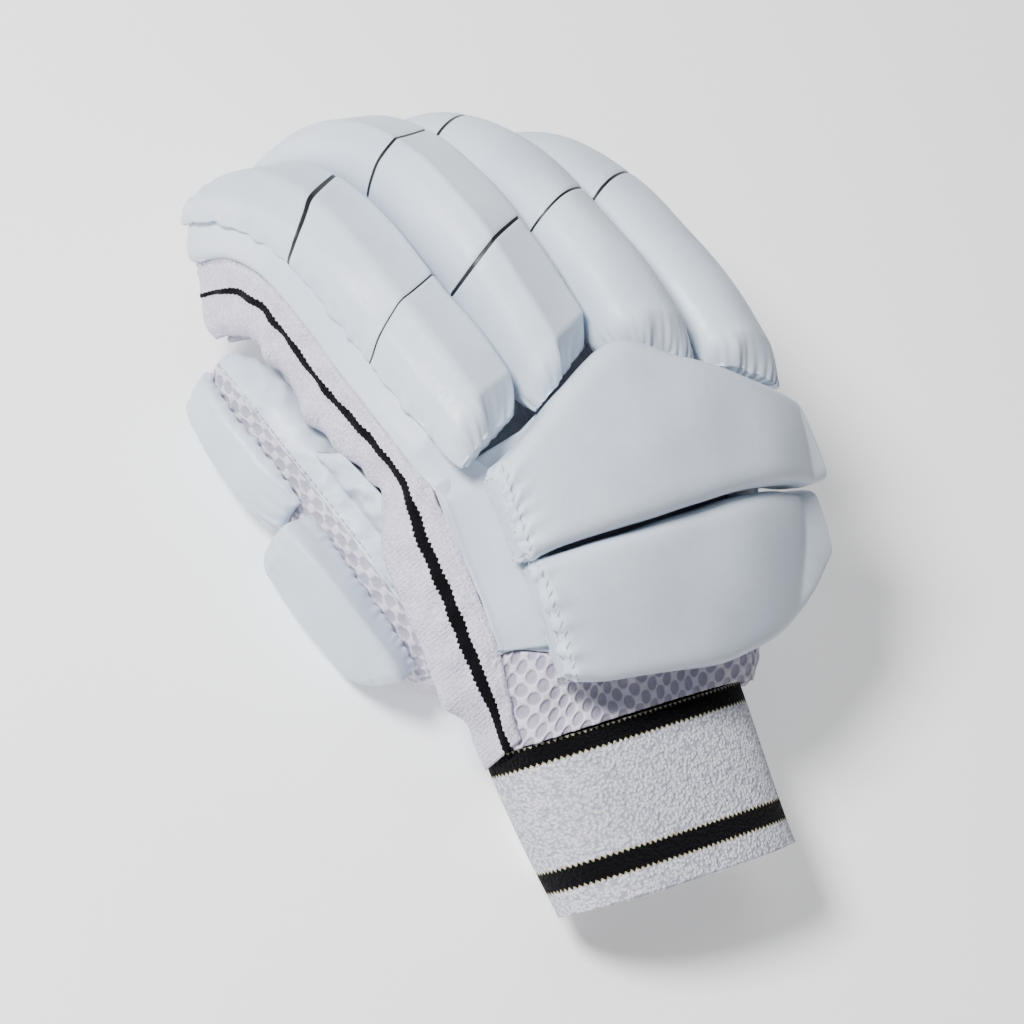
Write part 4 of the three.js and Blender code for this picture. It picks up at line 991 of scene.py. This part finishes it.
def gussetPart():
    # the ribbon: station + upward * height + outward * push, the push being a flare over
    # the thumb's root and a shallow bow beside the hand
    l, place, upward, half = gussetLine()
    # both ends run on a little, over the top of the cuff
    on = np.arange(3, 0, -1)[:, None]
    place = np.concatenate([place[0] + (place[0] - place[1]) * on, place,
                            place[-1] + (place[-1] - place[-2]) * on[::-1]])
    upward = np.concatenate([np.repeat(upward[:1], 3, 0), upward, np.repeat(upward[-1:], 3, 0)])
    half = np.concatenate([np.full(3, half[0]), half, np.full(3, half[-1])])
    l = np.arange(len(place)) * gusset["step"]
    # the corner by the knuckles is eased: a running mean with bell-shaped weights
    ends = np.minimum(l, l[-1] - l)
    weight = np.exp(-(np.arange(-22, 23) / 8.7) ** 2)
    weight = weight / weight.sum()
    eased = np.stack([np.convolve(np.pad(place[:, k], 22, "edge"), weight, "valid")
                      for k in range(3)], 1)
    place = mix(place, eased, (ramp(ends, 12, 34) * ramp(-ends, -150, -125))[:, None])
    v = np.linspace(-1, 1, gusset["columns"])[None, :]
    outward = unit(np.cross(upward, np.gradient(place, axis=0)))
    hand = flareAt(place[:, 0], place[:, 1])[:, None]
    side = ramp(-place[:, 0], 60, 68)[:, None] * ramp(place[:, 1], -141, -120)[:, None]
    under = 1 - 0.75 * ramp(-v, 0.72, 1.02)
    bow = 2.4 * (1 - v ** 2) + 1.4 * ramp(-v, -0.5, 1) * under
    push = gusset["flare"] * hand * ramp(-v, -0.7, 0.9) * under + side * bow
    finger = (ramp(-place[:, 0], 62, 68) * ramp(place[:, 1], -70, -30))[:, None]
    push = push + 3.0 * finger * ramp(-v, 0.1, 0.8) + 2.2 * (1 - ramp(ends, 2, 16))[:, None]
    rise = v * half[:, None] + gusset["raise"] * hand * ramp(v, -0.6, 1) - 3.0 * finger * ramp(-v,
            0.4, 1)
    middle = place[:, None] + upward[:, None] * rise[..., None] + outward[:, None] * push[..., None]
    across = v * half[:, None]
    low = ramp(-v, 0.25, 1.0)
    ruffled = 0.2 + 0.8 * np.maximum(side, finger)
    relief = gusset["ruffle"] * low * waves(l[:, None], across * 0.4, 15, 71) * ruffled
    # the stripe lies above the middle beside the palm and thins at the first finger's tip
    tip = fingerFrame(fingerRows["index"], len(fingerRows["index"]) - 1)
    tipPlace = tip["middle"] + tip["forward"] * fingerBox["tip"]
    tipAt = l[np.argmin(np.linalg.norm(place - tipPlace, axis=1))]
    thinned = (1 + 1.5 * np.exp(-((l - tipAt) / 34) ** 4))[:, None]
    stripe = (across - 3.6 * ramp(-ends, -150, -95)[:, None]) * thinned
    ridge, seam = np.exp(-(stripe / 2.2) ** 2), np.exp(-((v - 0.74) / 0.05) ** 2)
    relief = relief + 0.35 * waves(l[:, None], across, 12, 72) + 0.5 * ridge - 0.7 * seam
    uv = (across + 0 * l[:, None], np.broadcast_to(l[:, None], across.shape))
    surface = shell(middle, walls["cloth"], 1, outer=relief, inner=-np.clip(relief, -1, 1),
                    values={"acrossMm": stripe}, uv=uv)
    normal = gridNormals(middle, False)
    skin = middle + normal * (walls["cloth"] / 2 + relief)[..., None]
    stretches = (l < gusset["thumbSeam"], l > l[-1] - gusset["littleSeam"])
    seams = [(stretch, k) for stretch in stretches for k in gusset["seamColumns"]]
    rows = [stitchRow(skin[stretch, k], normal[stretch, k], 0.9) for stretch, k in seams]
    return surface, rows, middle[l < tipAt - 10, 1]


gussetShell, gussetStitches, gussetHem = gussetPart()
buildPiece("sideGusset", [gussetShell], cloth, ["side_gusset"])
print("side gusset made")

# Palm leather

palm = {"columns": 26, "handRows": 90, "fingerRows": 80, "slit": 0.94}
# opening for the thumb, in shares of the hand's length and of the whole width
palmHole = {"row": 0.41, "column": 0.125, "rowHalf": 0.16, "columnHalf": 0.07}
# punched holes, mm: every other row is moved over by shift, none lies beyond edge
holes = {"along": 6.4, "across": 7.2, "shift": 3.6, "edge": 11.5, "radius": 0.8, "deep": 0.5}


def ovalPoint(row, angle, swell):
    # squared oval: cos and sin to the power 2/2.3, skewed and tilted in y
    c, s = np.cos(angle), np.sin(angle)
    x = row[..., 0] + (row[..., 3] + swell) * np.sign(c) * np.abs(c) ** (2 / 2.3)
    z = row[..., 2] + (row[..., 4] + swell) * np.sign(s) * np.abs(s) ** (2 / 2.3)
    y = row[..., 1] - cuffSlant["skew"] * (x - row[..., 0]) - cuffSlant["tilt"] * (z - row[..., 2])
    return np.stack([x, y, z], -1)


def palmPart():
    # hand: straight steps from the cuff's underside to the finger roots, sagging by a sine;
    # fingers: the front line of each finger, dipped by 1 - u^2, with a half oval at the tip
    u = np.linspace(-1, 1, palm["columns"])
    drop = fingerBox["deep"] + walls["gap"] + walls["leather"] / 2

    def front(finger, t, tip, along=0.0):
        at = spread(fingerFrame(fingerRows[finger], np.atleast_1d(t)))
        dip = 1.6 * (1 - u ** 2) * (1 - np.atleast_1d(tip)[:, None] ** 5)
        return inFrame(at, u[None, :] * fingerBox["half"] + 0 * dip, -drop - dip, along)

    crotch = np.concatenate([front(f, crotchRow[f], 0)[0] for f in fingerNames])
    count = len(crotch)
    s = np.linspace(0, 1, count)
    side = 2 * s - 1
    wrist = ovalPoint(cuffRows[-1], np.pi * mix(1.06, 1.94, s), -walls["knit"] / 2)
    wrist[:, 1] += walls["gap"] * 2.4
    w = np.linspace(0, palm["slit"], palm["handRows"])[:, None]
    hand = mix(wrist[None], crotch[None], w[..., None])
    hand[..., 2] += 17 * np.sin(np.pi * w) * (1 - side[None] ** 2)
    pull = np.abs(side)[None] ** 3 * np.minimum(1, np.sin(np.pi * w) * 1.6)
    for rail, mask in ((thumbSideRows, side < 0), (littleSideRows, side >= 0)):
        row = curveAt(rail, rowWhere(rail, 1, hand[:, mask, 1]))
        hand[:, mask, 0] = mix(hand[:, mask, 0], row[..., 0], pull[:, mask])
        hand[:, mask, 2] = mix(hand[:, mask, 2], row[..., 2] - row[..., 4] - 2.2, pull[:, mask])
    hand[..., 0] -= 0.3 * gusset["flare"] * flareAt(-80, hand[..., 1]) * np.clip(-side, 0,
            1)[None] ** 7
    k = np.linspace(0, 1, palm["fingerRows"])[1:]
    tips = np.concatenate([front(f, mix(crotchRow[f], len(fingerRows[f]) - 1, k), k)
                           for f in fingerNames], 1)
    e = np.linspace(0, 1, 10)[1:]
    ends = []
    for f in fingerNames:
        last = len(fingerRows[f]) - 1
        reach = fingerBox["tip"] * 0.95 * np.sqrt(1 - u ** 2 * 0.96)
        ends.append(front(f, np.full(len(e), last), np.ones(len(e)), e[:, None] * reach[None]))
    middle = np.concatenate([hand, crotch[None], tips, np.concatenate(ends, 1)])
    rows = len(middle)
    i, j = np.meshgrid(np.arange(rows - 1), np.arange(count - 1), indexing="ij")
    slit = (i >= palm["handRows"] - 1) & (j % palm["columns"] == palm["columns"] - 1)
    down = (i / palm["handRows"] - palmHole["row"]) / palmHole["rowHalf"]
    hole = down ** 2 + ((j / count - palmHole["column"]) / palmHole["columnHalf"]) ** 2 < 1
    x, y = middle[..., 0], middle[..., 1]
    relief = 0.25 * waves(x, y, 17, 81)
    fingersOnly = np.arange(rows)[:, None] >= palm["handRows"]
    column = (np.arange(count) % palm["columns"])[None] / (palm["columns"] - 1) * 2 - 1
    bend = np.cos(np.arange(rows)[:, None] / 4.6 + 0.5 * waves(x, y, 20, 83)) * (1 - column ** 2)
    relief = relief + np.where(fingersOnly, 0.22 * bend, 0)
    return middle, relief, ~(slit | hole), column + 0 * x


def punched(middle, column):
    # distance in mm to the nearest punched hole on a finger front
    rows = len(middle)
    v = gridUv(middle, False)[1]
    base = v - v[palm["handRows"]][None]
    across = column * fingerBox["half"]
    row = np.round(base / holes["along"])
    shift = np.where(row % 2 == 0, 0.0, holes["shift"])
    spot = np.round((across - shift) / holes["across"]) * holes["across"] + shift
    near = np.hypot(across - spot, base - row * holes["along"])
    allowed = (base > 3) & (np.abs(spot) < holes["edge"]) & (np.arange(rows)[:, None] < rows - 12)
    return np.where(allowed, near, farAway["inkMm"])


def palmSeams(skin, normal):
    # two rounds of stitches about the thumb's opening, two rows along the hem and one
    # near each edge of every finger front
    rows, hand = [], palm["handRows"]
    turn = np.linspace(0, 2 * np.pi, 240)
    weight = np.full(9, 1 / 9)
    for reach in (1.22, 1.42):
        i = hand * (palmHole["row"] + palmHole["rowHalf"] * reach * np.sin(turn))
        j = skin.shape[1] * (palmHole["column"] + palmHole["columnHalf"] * reach * np.cos(turn))
        i, j = np.round(i).astype(int), np.round(j).astype(int)
        inside = (j > 1) & (j < skin.shape[1] - 1)
        order = np.argsort(np.where(turn > np.pi, turn - 2 * np.pi, turn)[inside])
        loop, loopNormal = skin[i, j][inside][order], normal[i, j][inside][order]
        loop = np.stack([np.convolve(np.pad(loop[:, k], 4, "edge"), weight, "valid")
                         for k in range(3)], 1)
        rows.append(stitchRow(loop, loopNormal))
    rows += [stitchRow(skin[k, 2:-2], normal[k, 2:-2]) for k in (3, 5)]
    front = slice(hand + 4, -6)
    edges = [n * palm["columns"] + k for n in range(4) for k in (3, palm["columns"] - 4)]
    return rows + [stitchRow(skin[front, j], normal[front, j], 0.9) for j in edges]


middle, relief, keep, column = palmPart()
dots = punched(middle, column)
# each punched hole is a shallow dent painted black: painted shade in the hole
dent = holes["deep"] * np.exp(-(dots / holes["radius"]) ** 2)
palmShell = shell(middle, walls["leather"], 1, outer=relief - dent, keep=keep,
                  values={"inkMm": dots - 0.1})
buildPiece("palmLeather", [palmShell], leather, ["palm_leather"])
normal = gridNormals(middle, False)
palmStitches = palmSeams(middle + normal * (walls["leather"] / 2 + relief)[..., None], normal)
print("palm leather made")

# Cuff, strap and mesh band

cuffMesh = {"around": 280, "along": 64}
bandMesh = {"along": 58, "across": 260, "cellWide": 6.3, "cellHigh": 7.8}
# degrees round the cuff, points, half width, half width at the pointed end, y of the
# middle and length in mm
strapMesh = {
    "from": -14, "to": -134, "along": 120, "across": 56, "half": 25.5, "point": 9, "y": -179,
    "long": 105,
}


def cuffPart():
    # the cuff's oval carried along its rows, flattened where the strap lies under it
    t = np.linspace(0, len(cuffRows) - 1, cuffMesh["along"])[:, None]
    angle = np.linspace(0, 2 * np.pi, cuffMesh["around"], endpoint=False)[None, :]
    middle = ovalPoint(curveAt(cuffRows, t + 0 * angle), angle + 0 * t, -walls["knit"] / 2)
    seat = walls["strap"] + walls["gap"] + walls["knit"] / 2
    middle[..., 2] = np.maximum(middle[..., 2], seat)
    v = (curveAt(cuffRows, t[:, 0])[:, 1] - cuffRows[0, 1])[:, None]
    step = np.linalg.norm(np.roll(middle, -1, 1) - middle, axis=-1).mean(0)
    u = np.concatenate([[0], np.cumsum(step)])[None, :] + 0 * v
    uv = (u, v + 0 * u)
    hem = np.exp(-((v - 3.6) / 3.0) ** 2) * 0.5 - 0.45 * np.exp(-((v - 7.8) / 0.6) ** 2)
    a = angle * 50
    relief = hem + 0.4 * waves(a, v, 24, 91) + 0.22 * waves(a, v, 7, 92, stretch=0.6)
    under = middle[..., 2] <= seat + 0.01
    relief = np.where(under, np.minimum(relief, 0.1), relief)
    return shell(middle, walls["knit"], 1, outer=relief, inner=0.0, looped=True, uv=uv)


def strapPart():
    # an arc of the cuff's oval, moved out past the knit, narrower towards the point
    w = np.linspace(0, 1, strapMesh["along"])[:, None]
    v = np.linspace(-1, 1, strapMesh["across"])[None, :]
    half = mix(strapMesh["half"], strapMesh["point"], np.clip((w - 13 / 16) * 16 / 3, 0, 1))
    y = strapMesh["y"] + v * half
    row = curveAt(cuffRows, rowWhere(cuffRows, 1, y))
    row[..., 1] = y
    angle = np.radians(mix(strapMesh["from"], strapMesh["to"], w)) + 0 * v
    middle = ovalPoint(row, angle, walls["gap"] * 1.8 + walls["strap"] / 2)
    middle[..., 2] = np.maximum(middle[..., 2], walls["strap"] / 2)
    edge = (1 - np.abs(v)) * half
    ends = np.minimum(edge, np.minimum(w, 1 - w) * strapMesh["long"])
    relief = -0.7 * np.exp(-((ends - 5.0) / 0.8) ** 2) - 0.8 * np.exp(-(ends
            / 0.9) ** 2) - 0.12 * ramp(ends, 5.5, 7)
    normal = gridNormals(middle, False)
    skin = middle + normal * (walls["strap"] / 2 + relief - 0.1)[..., None]
    rows = [stitchRow(skin[4:-10, k], normal[4:-10, k], 1.1) for k in (6, -7)]
    return shell(middle, walls["strap"], 1, outer=relief,
                 inner=-0.6 * np.exp(-(ends / 0.9) ** 2)), rows


def honeycomb(u, v, wide, high):
    # 1 inside the open cells, 0 on the ribs: two sets of ovals set half a step apart
    best = np.full(np.broadcast(u, v).shape, 9.0)
    for shift in (0.0, 0.5):
        du = (u / wide + shift + 0.5) % 1 - 0.5
        dv = (v / high + shift + 0.5) % 1 - 0.5
        best = np.minimum(best, np.hypot(du / 0.30, dv / 0.33))
    return 1 - ramp(best, 0.78, 1.12)


def meshBandPart():
    # straight steps from the cuff's top to the back leather's lower edge, swelled outwards
    s = np.linspace(-0.015, 1.0, bandMesh["across"])[None, :]
    start = rowWhere(backRows, 0, backEdge(s) - 0.5)
    w = np.linspace(0, 1, bandMesh["along"])[:, None]
    low = ovalPoint(cuffRows[-1], np.pi * mix(0.885, 0.13, s), -walls["cloth"] / 2)
    low[..., 1] += walls["gap"] * 3
    high = backPoint(start, s)
    middle = mix(low, high, w[..., None])
    middle[..., 2] -= 1.6 * np.sin(np.pi * w) * np.sin(np.pi * s)
    u, v = gridUv(middle, False)
    cell = honeycomb(u + 0.8 * waves(u, v, 30, 95), v, bandMesh["cellWide"], bandMesh["cellHigh"])
    fold = np.sin(np.pi * np.clip(w * 0.9 + 0.1, 0, 1)) ** 0.6
    bulge = fold * (2.2 + 5.5 * ramp(s, 0.5, 0.95)) * ramp(s, -0.02, 0.12) + 1.8 * ramp(-w, -0.3, 0)
    relief = bulge + 0.35 * waves(u, v, 14, 96) - 0.8 * cell
    return shell(middle, walls["cloth"], 1, outer=relief, values={"cell": cell})


buildPiece("cuffKnit", [cuffPart()], knit, ["cuff"])
strapShell, strapStitches = strapPart()
buildPiece("wristStrap", [strapShell], plastic, ["wrist_strap"])
buildPiece("meshBand", [meshBandPart()], airMesh, ["mesh_band"])
print("cuff, strap and mesh band made")

# Thumb

thumbSheets = {
    "leather": {"from": 60, "to": 226, "columns": 100},
    "mesh": {"from": -133, "to": 59, "columns": 150, "cellWide": 6.0, "cellHigh": 7.6},
}
thumbMesh = {
    "sheetRings": 136, "around": 120, "along": 120, "cap": 6,
    "usual": np.array([21.0, 14.0]),  # reach and thickness that turn the radii into shares
}
# section corner: across in shares of the reach, high in shares of the thickness, radius mm
thumbPads = {
    "thumbTipRoll": {
        "node": "thumb_tip_roll", "from": 4.35, "to": 7.55, "reach": 45, "thick": (8.5,
                8.5), "ends": 0.12,
        "lift": 2.1, "sharp": 2.2, "gather": 0.5, "seed": 41,
        "section": [(-0.9, 0, 3), (-1.0, 0.5, 6), (-0.6, 0.95, 8), (0.3, 1.0, 8), (0.92, 0.72, 5),
                    (1.0, 0.2, 3), (0.9, 0, 2)]},
    "thumbBasePad": {
        "node": "thumb_base_pad", "from": 1.65, "to": 4.15, "reach": 41, "thick": (12,
                16.5), "ends": 0.82,
        "lift": 1.2, "sharp": 6.0, "gather": 0.3, "seed": 42,
        "section": [(-0.95, 0, 2), (-0.98, 0.42, 4), (-0.8, 0.8, 4), (-0.5, 0.98, 6),
                    (0.1, 0.99, 12), (0.97, 1.1, 2.2), (1.0, 0.1, 2), (0.9, 0, 2)]},
}


def thumbFrame(t):
    # middle, forward, sideways and outward directions along the thumb
    last = len(thumbRows) - 1
    row = curveAt(thumbRows, np.clip(t, 0, last))
    ahead, behind = (curveAt(thumbRows, np.clip(t + near, 0, last))[..., :3]
                     for near in (0.1, -0.1))
    forward = unit(ahead - behind)
    turn = np.radians(row[..., 5])
    up = np.stack([-np.sin(turn), 0 * turn, np.cos(turn)], -1)
    up = unit(up - forward * (up * forward).sum(-1, keepdims=True))
    return {"row": row, "middle": row[..., :3], "forward": forward, "side": np.cross(forward, up),
            "up": up}


def thumbPoint(t, degrees, swell=0.0):
    # oval tube: half width times sin, half depth times cos, both grown by swell
    at = thumbFrame(t)
    a = np.radians(degrees)
    return inFrame(at, (at["row"][..., 3] + swell) * np.sin(a),
                   (at["row"][..., 4] + swell) * np.cos(a))


def thumbSheetPart(kind):
    # part of the thumb's oval tube between two angles
    spec = thumbSheets[kind]
    t = np.linspace(0, len(thumbRows) - 1, thumbMesh["sheetRings"])[:, None]
    degrees = np.linspace(spec["from"], spec["to"], spec["columns"])[None, :]
    middle = thumbPoint(t + 0 * degrees, degrees + 0 * t)
    # the tip closes like the end of a sphere: reach times the root of 1 - r^2
    tip = len(thumbRows) - 1
    reach = np.sqrt(1 - np.clip((t - tip + 0.5) / 0.5, 0, 0.99) ** 2)
    middle = mix(thumbFrame(t + 0 * degrees)["middle"], middle, reach[..., None])
    u, v = gridUv(middle, False)
    if kind == "mesh":
        cell = honeycomb(u, v, spec["cellWide"], spec["cellHigh"]) * ramp(t, 0.5, 1.5) * ramp(8 - t,
                0.3, 1.2)
        relief = 0.3 * waves(u, v, 16, 43) - 0.7 * cell
        return middle, shell(middle, walls["leather"], 1, outer=relief, values={"cell": cell})
    relief = 0.45 * waves(u, v, 18, 44) + 0.25 * waves(u, v, 7, 45)
    return middle, shell(middle, walls["leather"], 1, outer=relief, values=noInk)


def thumbWebPart():
    # leather web: straight steps from the thumb's top to the gusset's lower edge,
    # swelled outwards by a sine
    y = np.linspace(-116, -30, 110)[:, None]
    w = np.linspace(0, 1, 18)[None, :]
    order = np.argsort(gussetHem[:, 1])
    hem = np.stack([np.interp(y, gussetHem[order, 1], gussetHem[order, k]) for k in range(3)], -1)
    t = rowWhere(thumbRows, 1, np.maximum(y + 8 * ramp(y, -80, -30), -104))
    low = thumbPoint(t, 98 + 0 * t, 0.6)
    middle = mix(low, hem, w[..., None])
    middle[..., 0] -= 2.4 * np.sin(np.pi * w) + 0.6
    relief = (0.9 * waves(y, w * 6, 11, 47) + 0.3 * waves(y, w * 10, 5, 48)) * np.sin(np.pi
            * np.clip(w, 0.1, 0.9))
    return shell(middle, walls["strip"], 1, outer=relief, inner=-np.clip(relief, -0.8, 0.8),
                 values=noInk)


def thumbPadPart(spec):
    # the section stood across the thumb's back, thinned towards both ends and closed
    # by a flat cap, then relief along the normal
    around, count, capCount = thumbMesh["around"], thumbMesh["along"], thumbMesh["cap"]
    w = 0.5 - 0.5 * np.cos(np.linspace(0, np.pi, count))
    near = np.minimum(w, 1 - w) * 2
    size = mix(spec["ends"], 1, np.minimum(1, near * spec["sharp"]) ** 0.5)
    cap = np.linspace(0.02, 1, capCount)
    size = np.concatenate([spec["ends"] * cap, size, spec["ends"] * cap[::-1]])[:, None]
    flat = np.concatenate([cap, np.ones(count), cap[::-1]])[:, None]
    w = np.concatenate([np.zeros(capCount), w, np.ones(capCount)])[:, None]
    section = roundedLoop(spec["section"], thumbMesh["usual"], around)
    across, high = section[None, :, 0], section[None, :, 1]
    t = mix(spec["from"], spec["to"], w)
    thick = mix(*spec["thick"], w)
    swell = walls["leather"] / 2 + spec["lift"] + (1.2 + thick * size) * mix(0.45, high, flat)
    points = thumbPoint(t, across * spec["reach"] * mix(0.86, 1, size) * mix(0.88, 1, flat), swell)
    turn = np.linspace(0, 76, around)[None, :]
    l = w * 60
    tail = np.exp(-((1 - w) * 60 / 10) ** 2) + np.exp(-(w * 60 / 5) ** 2)
    seam = np.exp(-((across - 1) / 0.16) ** 2) * np.exp(-((high - 0.1) / 0.35) ** 2)
    relief = 0.2 * waves(l, turn, 18, spec["seed"]) + spec["gather"] * tail * waves(l * 0.3, turn,
            4.4, spec["seed"] + 5)
    relief = relief + 0.8 * spec["gather"] * seam * waves(l, turn * 0.2, 3.2, spec["seed"] + 6)
    relief = relief * (flat > 0.99) * ramp(np.minimum(w, 1 - w), 0.0, 0.03)
    points = raised(points, relief, section, thumbFrame(t)["up"][:, 0])[0]
    return tube(points, noInk)


thumbLeatherMiddle, thumbLeatherPart = thumbSheetPart("leather")
thumbMeshPart = thumbSheetPart("mesh")[1]
buildPiece("thumbLeather", [thumbLeatherPart, thumbWebPart()], leather,
           ["thumb_leather"])
buildPiece("thumbMesh", [thumbMeshPart], airMesh, ["thumb_mesh"])
for name, spec in thumbPads.items():
    buildPiece(name, [thumbPadPart(spec)], leather, [spec["node"]])
normal = gridNormals(thumbLeatherMiddle, False)
skin = thumbLeatherMiddle + normal * (walls["leather"] / 2 + 0.3)
thumbStitches = [stitchRow(skin[10:-8, k], normal[10:-8, k]) for k in (3, -4)]
print("thumb made")

# Piping round the finger fronts

piping = {"radius": 1.25, "around": 10, "drop": fingerBox["deep"] + walls["gap"] * 2.4
          + walls["leather"] + 1.2}


def pipingPart(finger):
    # a small ring carried up one side of a finger front, round the tip and back
    rows = fingerRows[finger]
    last = len(rows) - 1
    reach = fingerBox["half"] - 1.2
    t = np.linspace(crotchRow[finger] + 0.1, last, 110)
    at = fingerFrame(rows, t)
    a = np.radians(np.linspace(6, 174, 40))
    tip = {k: v[-1:] for k, v in at.items()}
    left = inFrame(at, -reach + 0 * t, -piping["drop"] + 0 * t)
    cap = inFrame(tip, -reach * np.cos(a), -piping["drop"] + 0 * a,
                  (fingerBox["tip"] - 2.2) * np.sin(a))
    right = inFrame(at, reach + 0 * t, -piping["drop"] + 0 * t)[::-1]
    path = np.concatenate([left, cap, right])
    up = np.concatenate([at["up"], np.repeat(tip["up"], len(a), 0), at["up"][::-1]])
    forward = unit(np.gradient(path, axis=0))
    out = unit(np.cross(forward, up))
    b = np.linspace(0, 2 * np.pi, piping["around"], endpoint=False)[None, :, None]
    l = np.arange(len(path))[:, None, None]
    radius = piping["radius"] * (1 + 0.1 * np.sin(l * 1.7 + 3 * b))
    rings = path[:, None] + (out[:, None] * np.cos(b) + up[:, None] * np.sin(b)) * radius
    return tube(rings)


for finger in fingerNames:
    buildPiece(f"{finger}Piping", [pipingPart(finger)], pipingCloth,
               [f"piping_{finger}"])
print("piping made")

threads = {
    "padStitches": padStitches, "stripStitches": stripStitches, "gussetStitches": gussetStitches,
    "palmStitches": palmStitches, "strapStitches": strapStitches, "thumbStitches": thumbStitches,
}
for name, rows in threads.items():
    buildPiece(name, rows, thread, [])
print("stitches made")

# Floor, lights and camera

studio = {
    "target": (-22.7, -70.5, 44.7), "distance": 1500.0, "width": 352.0,
    "right": (0.759, -0.529, 0.381), "back": (-0.565, -0.242, 0.789),
    "sensor": 36, "floorHalf": 3.0, "skyCode": "#F2F5FA", "skyPower": 0.2,
}
# towards the lamp, metres away, metres wide, watts
lamps = {
    "keyLight": ((-0.58, 0.32, 0.75), 1.5, 0.45, 48),
    "topLight": ((0.2, 0.3, 1.0), 1.6, 1.2, 4),
    "fillLight": ((-0.45, -0.75, 0.5), 1.8, 1.4, 1.5),
}


def makeFloor():
    mesh = bpy.data.meshes.new("floor")
    size = studio["floorHalf"]
    mesh.from_pydata([(-size, -size, 0), (size, -size, 0), (size, size, 0), (-size, size, 0)], [],
                     [(0, 1, 2, 3)])
    floor = bpy.data.objects.new("floor", mesh)
    bpy.context.scene.collection.objects.link(floor)
    material = newMaterial("pale_studio_floor")
    place = addNode(material, "TexCoord", output="Object")
    cloud = addNode(material, "TexNoise", {"Scale": 2.0, "Detail": 2.0}, {"Vector": place})
    tint = addNode(material, "Mix", {**colour, 6: srgb("#FCFCFC"), 7: srgb("#F9FAFB")}, {0: cloud},
                   2)
    shader = addNode(material, "BsdfPrincipled", {
        "Roughness": 0.8, "Emission Color": srgb("#FFFFFF"), "Emission Strength": 0.4},
        {"Base Color": tint})
    addNode(material, "OutputMaterial", {}, {"Surface": shader})
    mesh.materials.append(material)


def makeLight(name, direction, distance, size, power):
    # a round lamp that faces the middle of the glove
    light = bpy.data.lights.new(name, "AREA")
    light.shape, light.size, light.energy = "DISK", size, power
    lamp = bpy.data.objects.new(name, light)
    bpy.context.scene.collection.objects.link(lamp)
    aim = (np.array(studio["target"]) + gloveShift) / 1000
    away = unit(np.array(direction, float))
    lamp.location = aim + away * distance
    lamp.rotation_mode = "QUATERNION"
    lamp.rotation_quaternion = Vector(away).to_track_quat("Z", "Y")


def makeCamera():
    # looks along minus back, from the distance at which the photo's perspective fits
    camera = bpy.data.cameras.new("camera")
    camera.sensor_width = studio["sensor"]
    camera.lens = studio["sensor"] * studio["distance"] / studio["width"]
    camera.clip_end = 20
    eye = bpy.data.objects.new("camera", camera)
    bpy.context.scene.collection.objects.link(eye)
    right, back = unit(np.array(studio["right"])), unit(np.array(studio["back"]))
    up = np.cross(back, right)
    right = np.cross(unit(up), back)
    at = (np.array(studio["target"]) + gloveShift + back * studio["distance"]) / 1000
    turn = Matrix([[right[k], unit(up)[k], back[k]] for k in range(3)]).to_4x4()
    eye.matrix_world = Matrix.Translation(at) @ turn
    bpy.context.scene.camera = eye


makeFloor()
for name, lamp in lamps.items():
    makeLight(name, *lamp)
makeCamera()
world = bpy.data.worlds.new("studioWorld")
world.use_nodes = True
sky = world.node_tree.nodes["Background"].inputs
sky["Color"].default_value = srgb(studio["skyCode"])
sky["Strength"].default_value = studio["skyPower"]
bpy.context.scene.world = world

print("studio made")
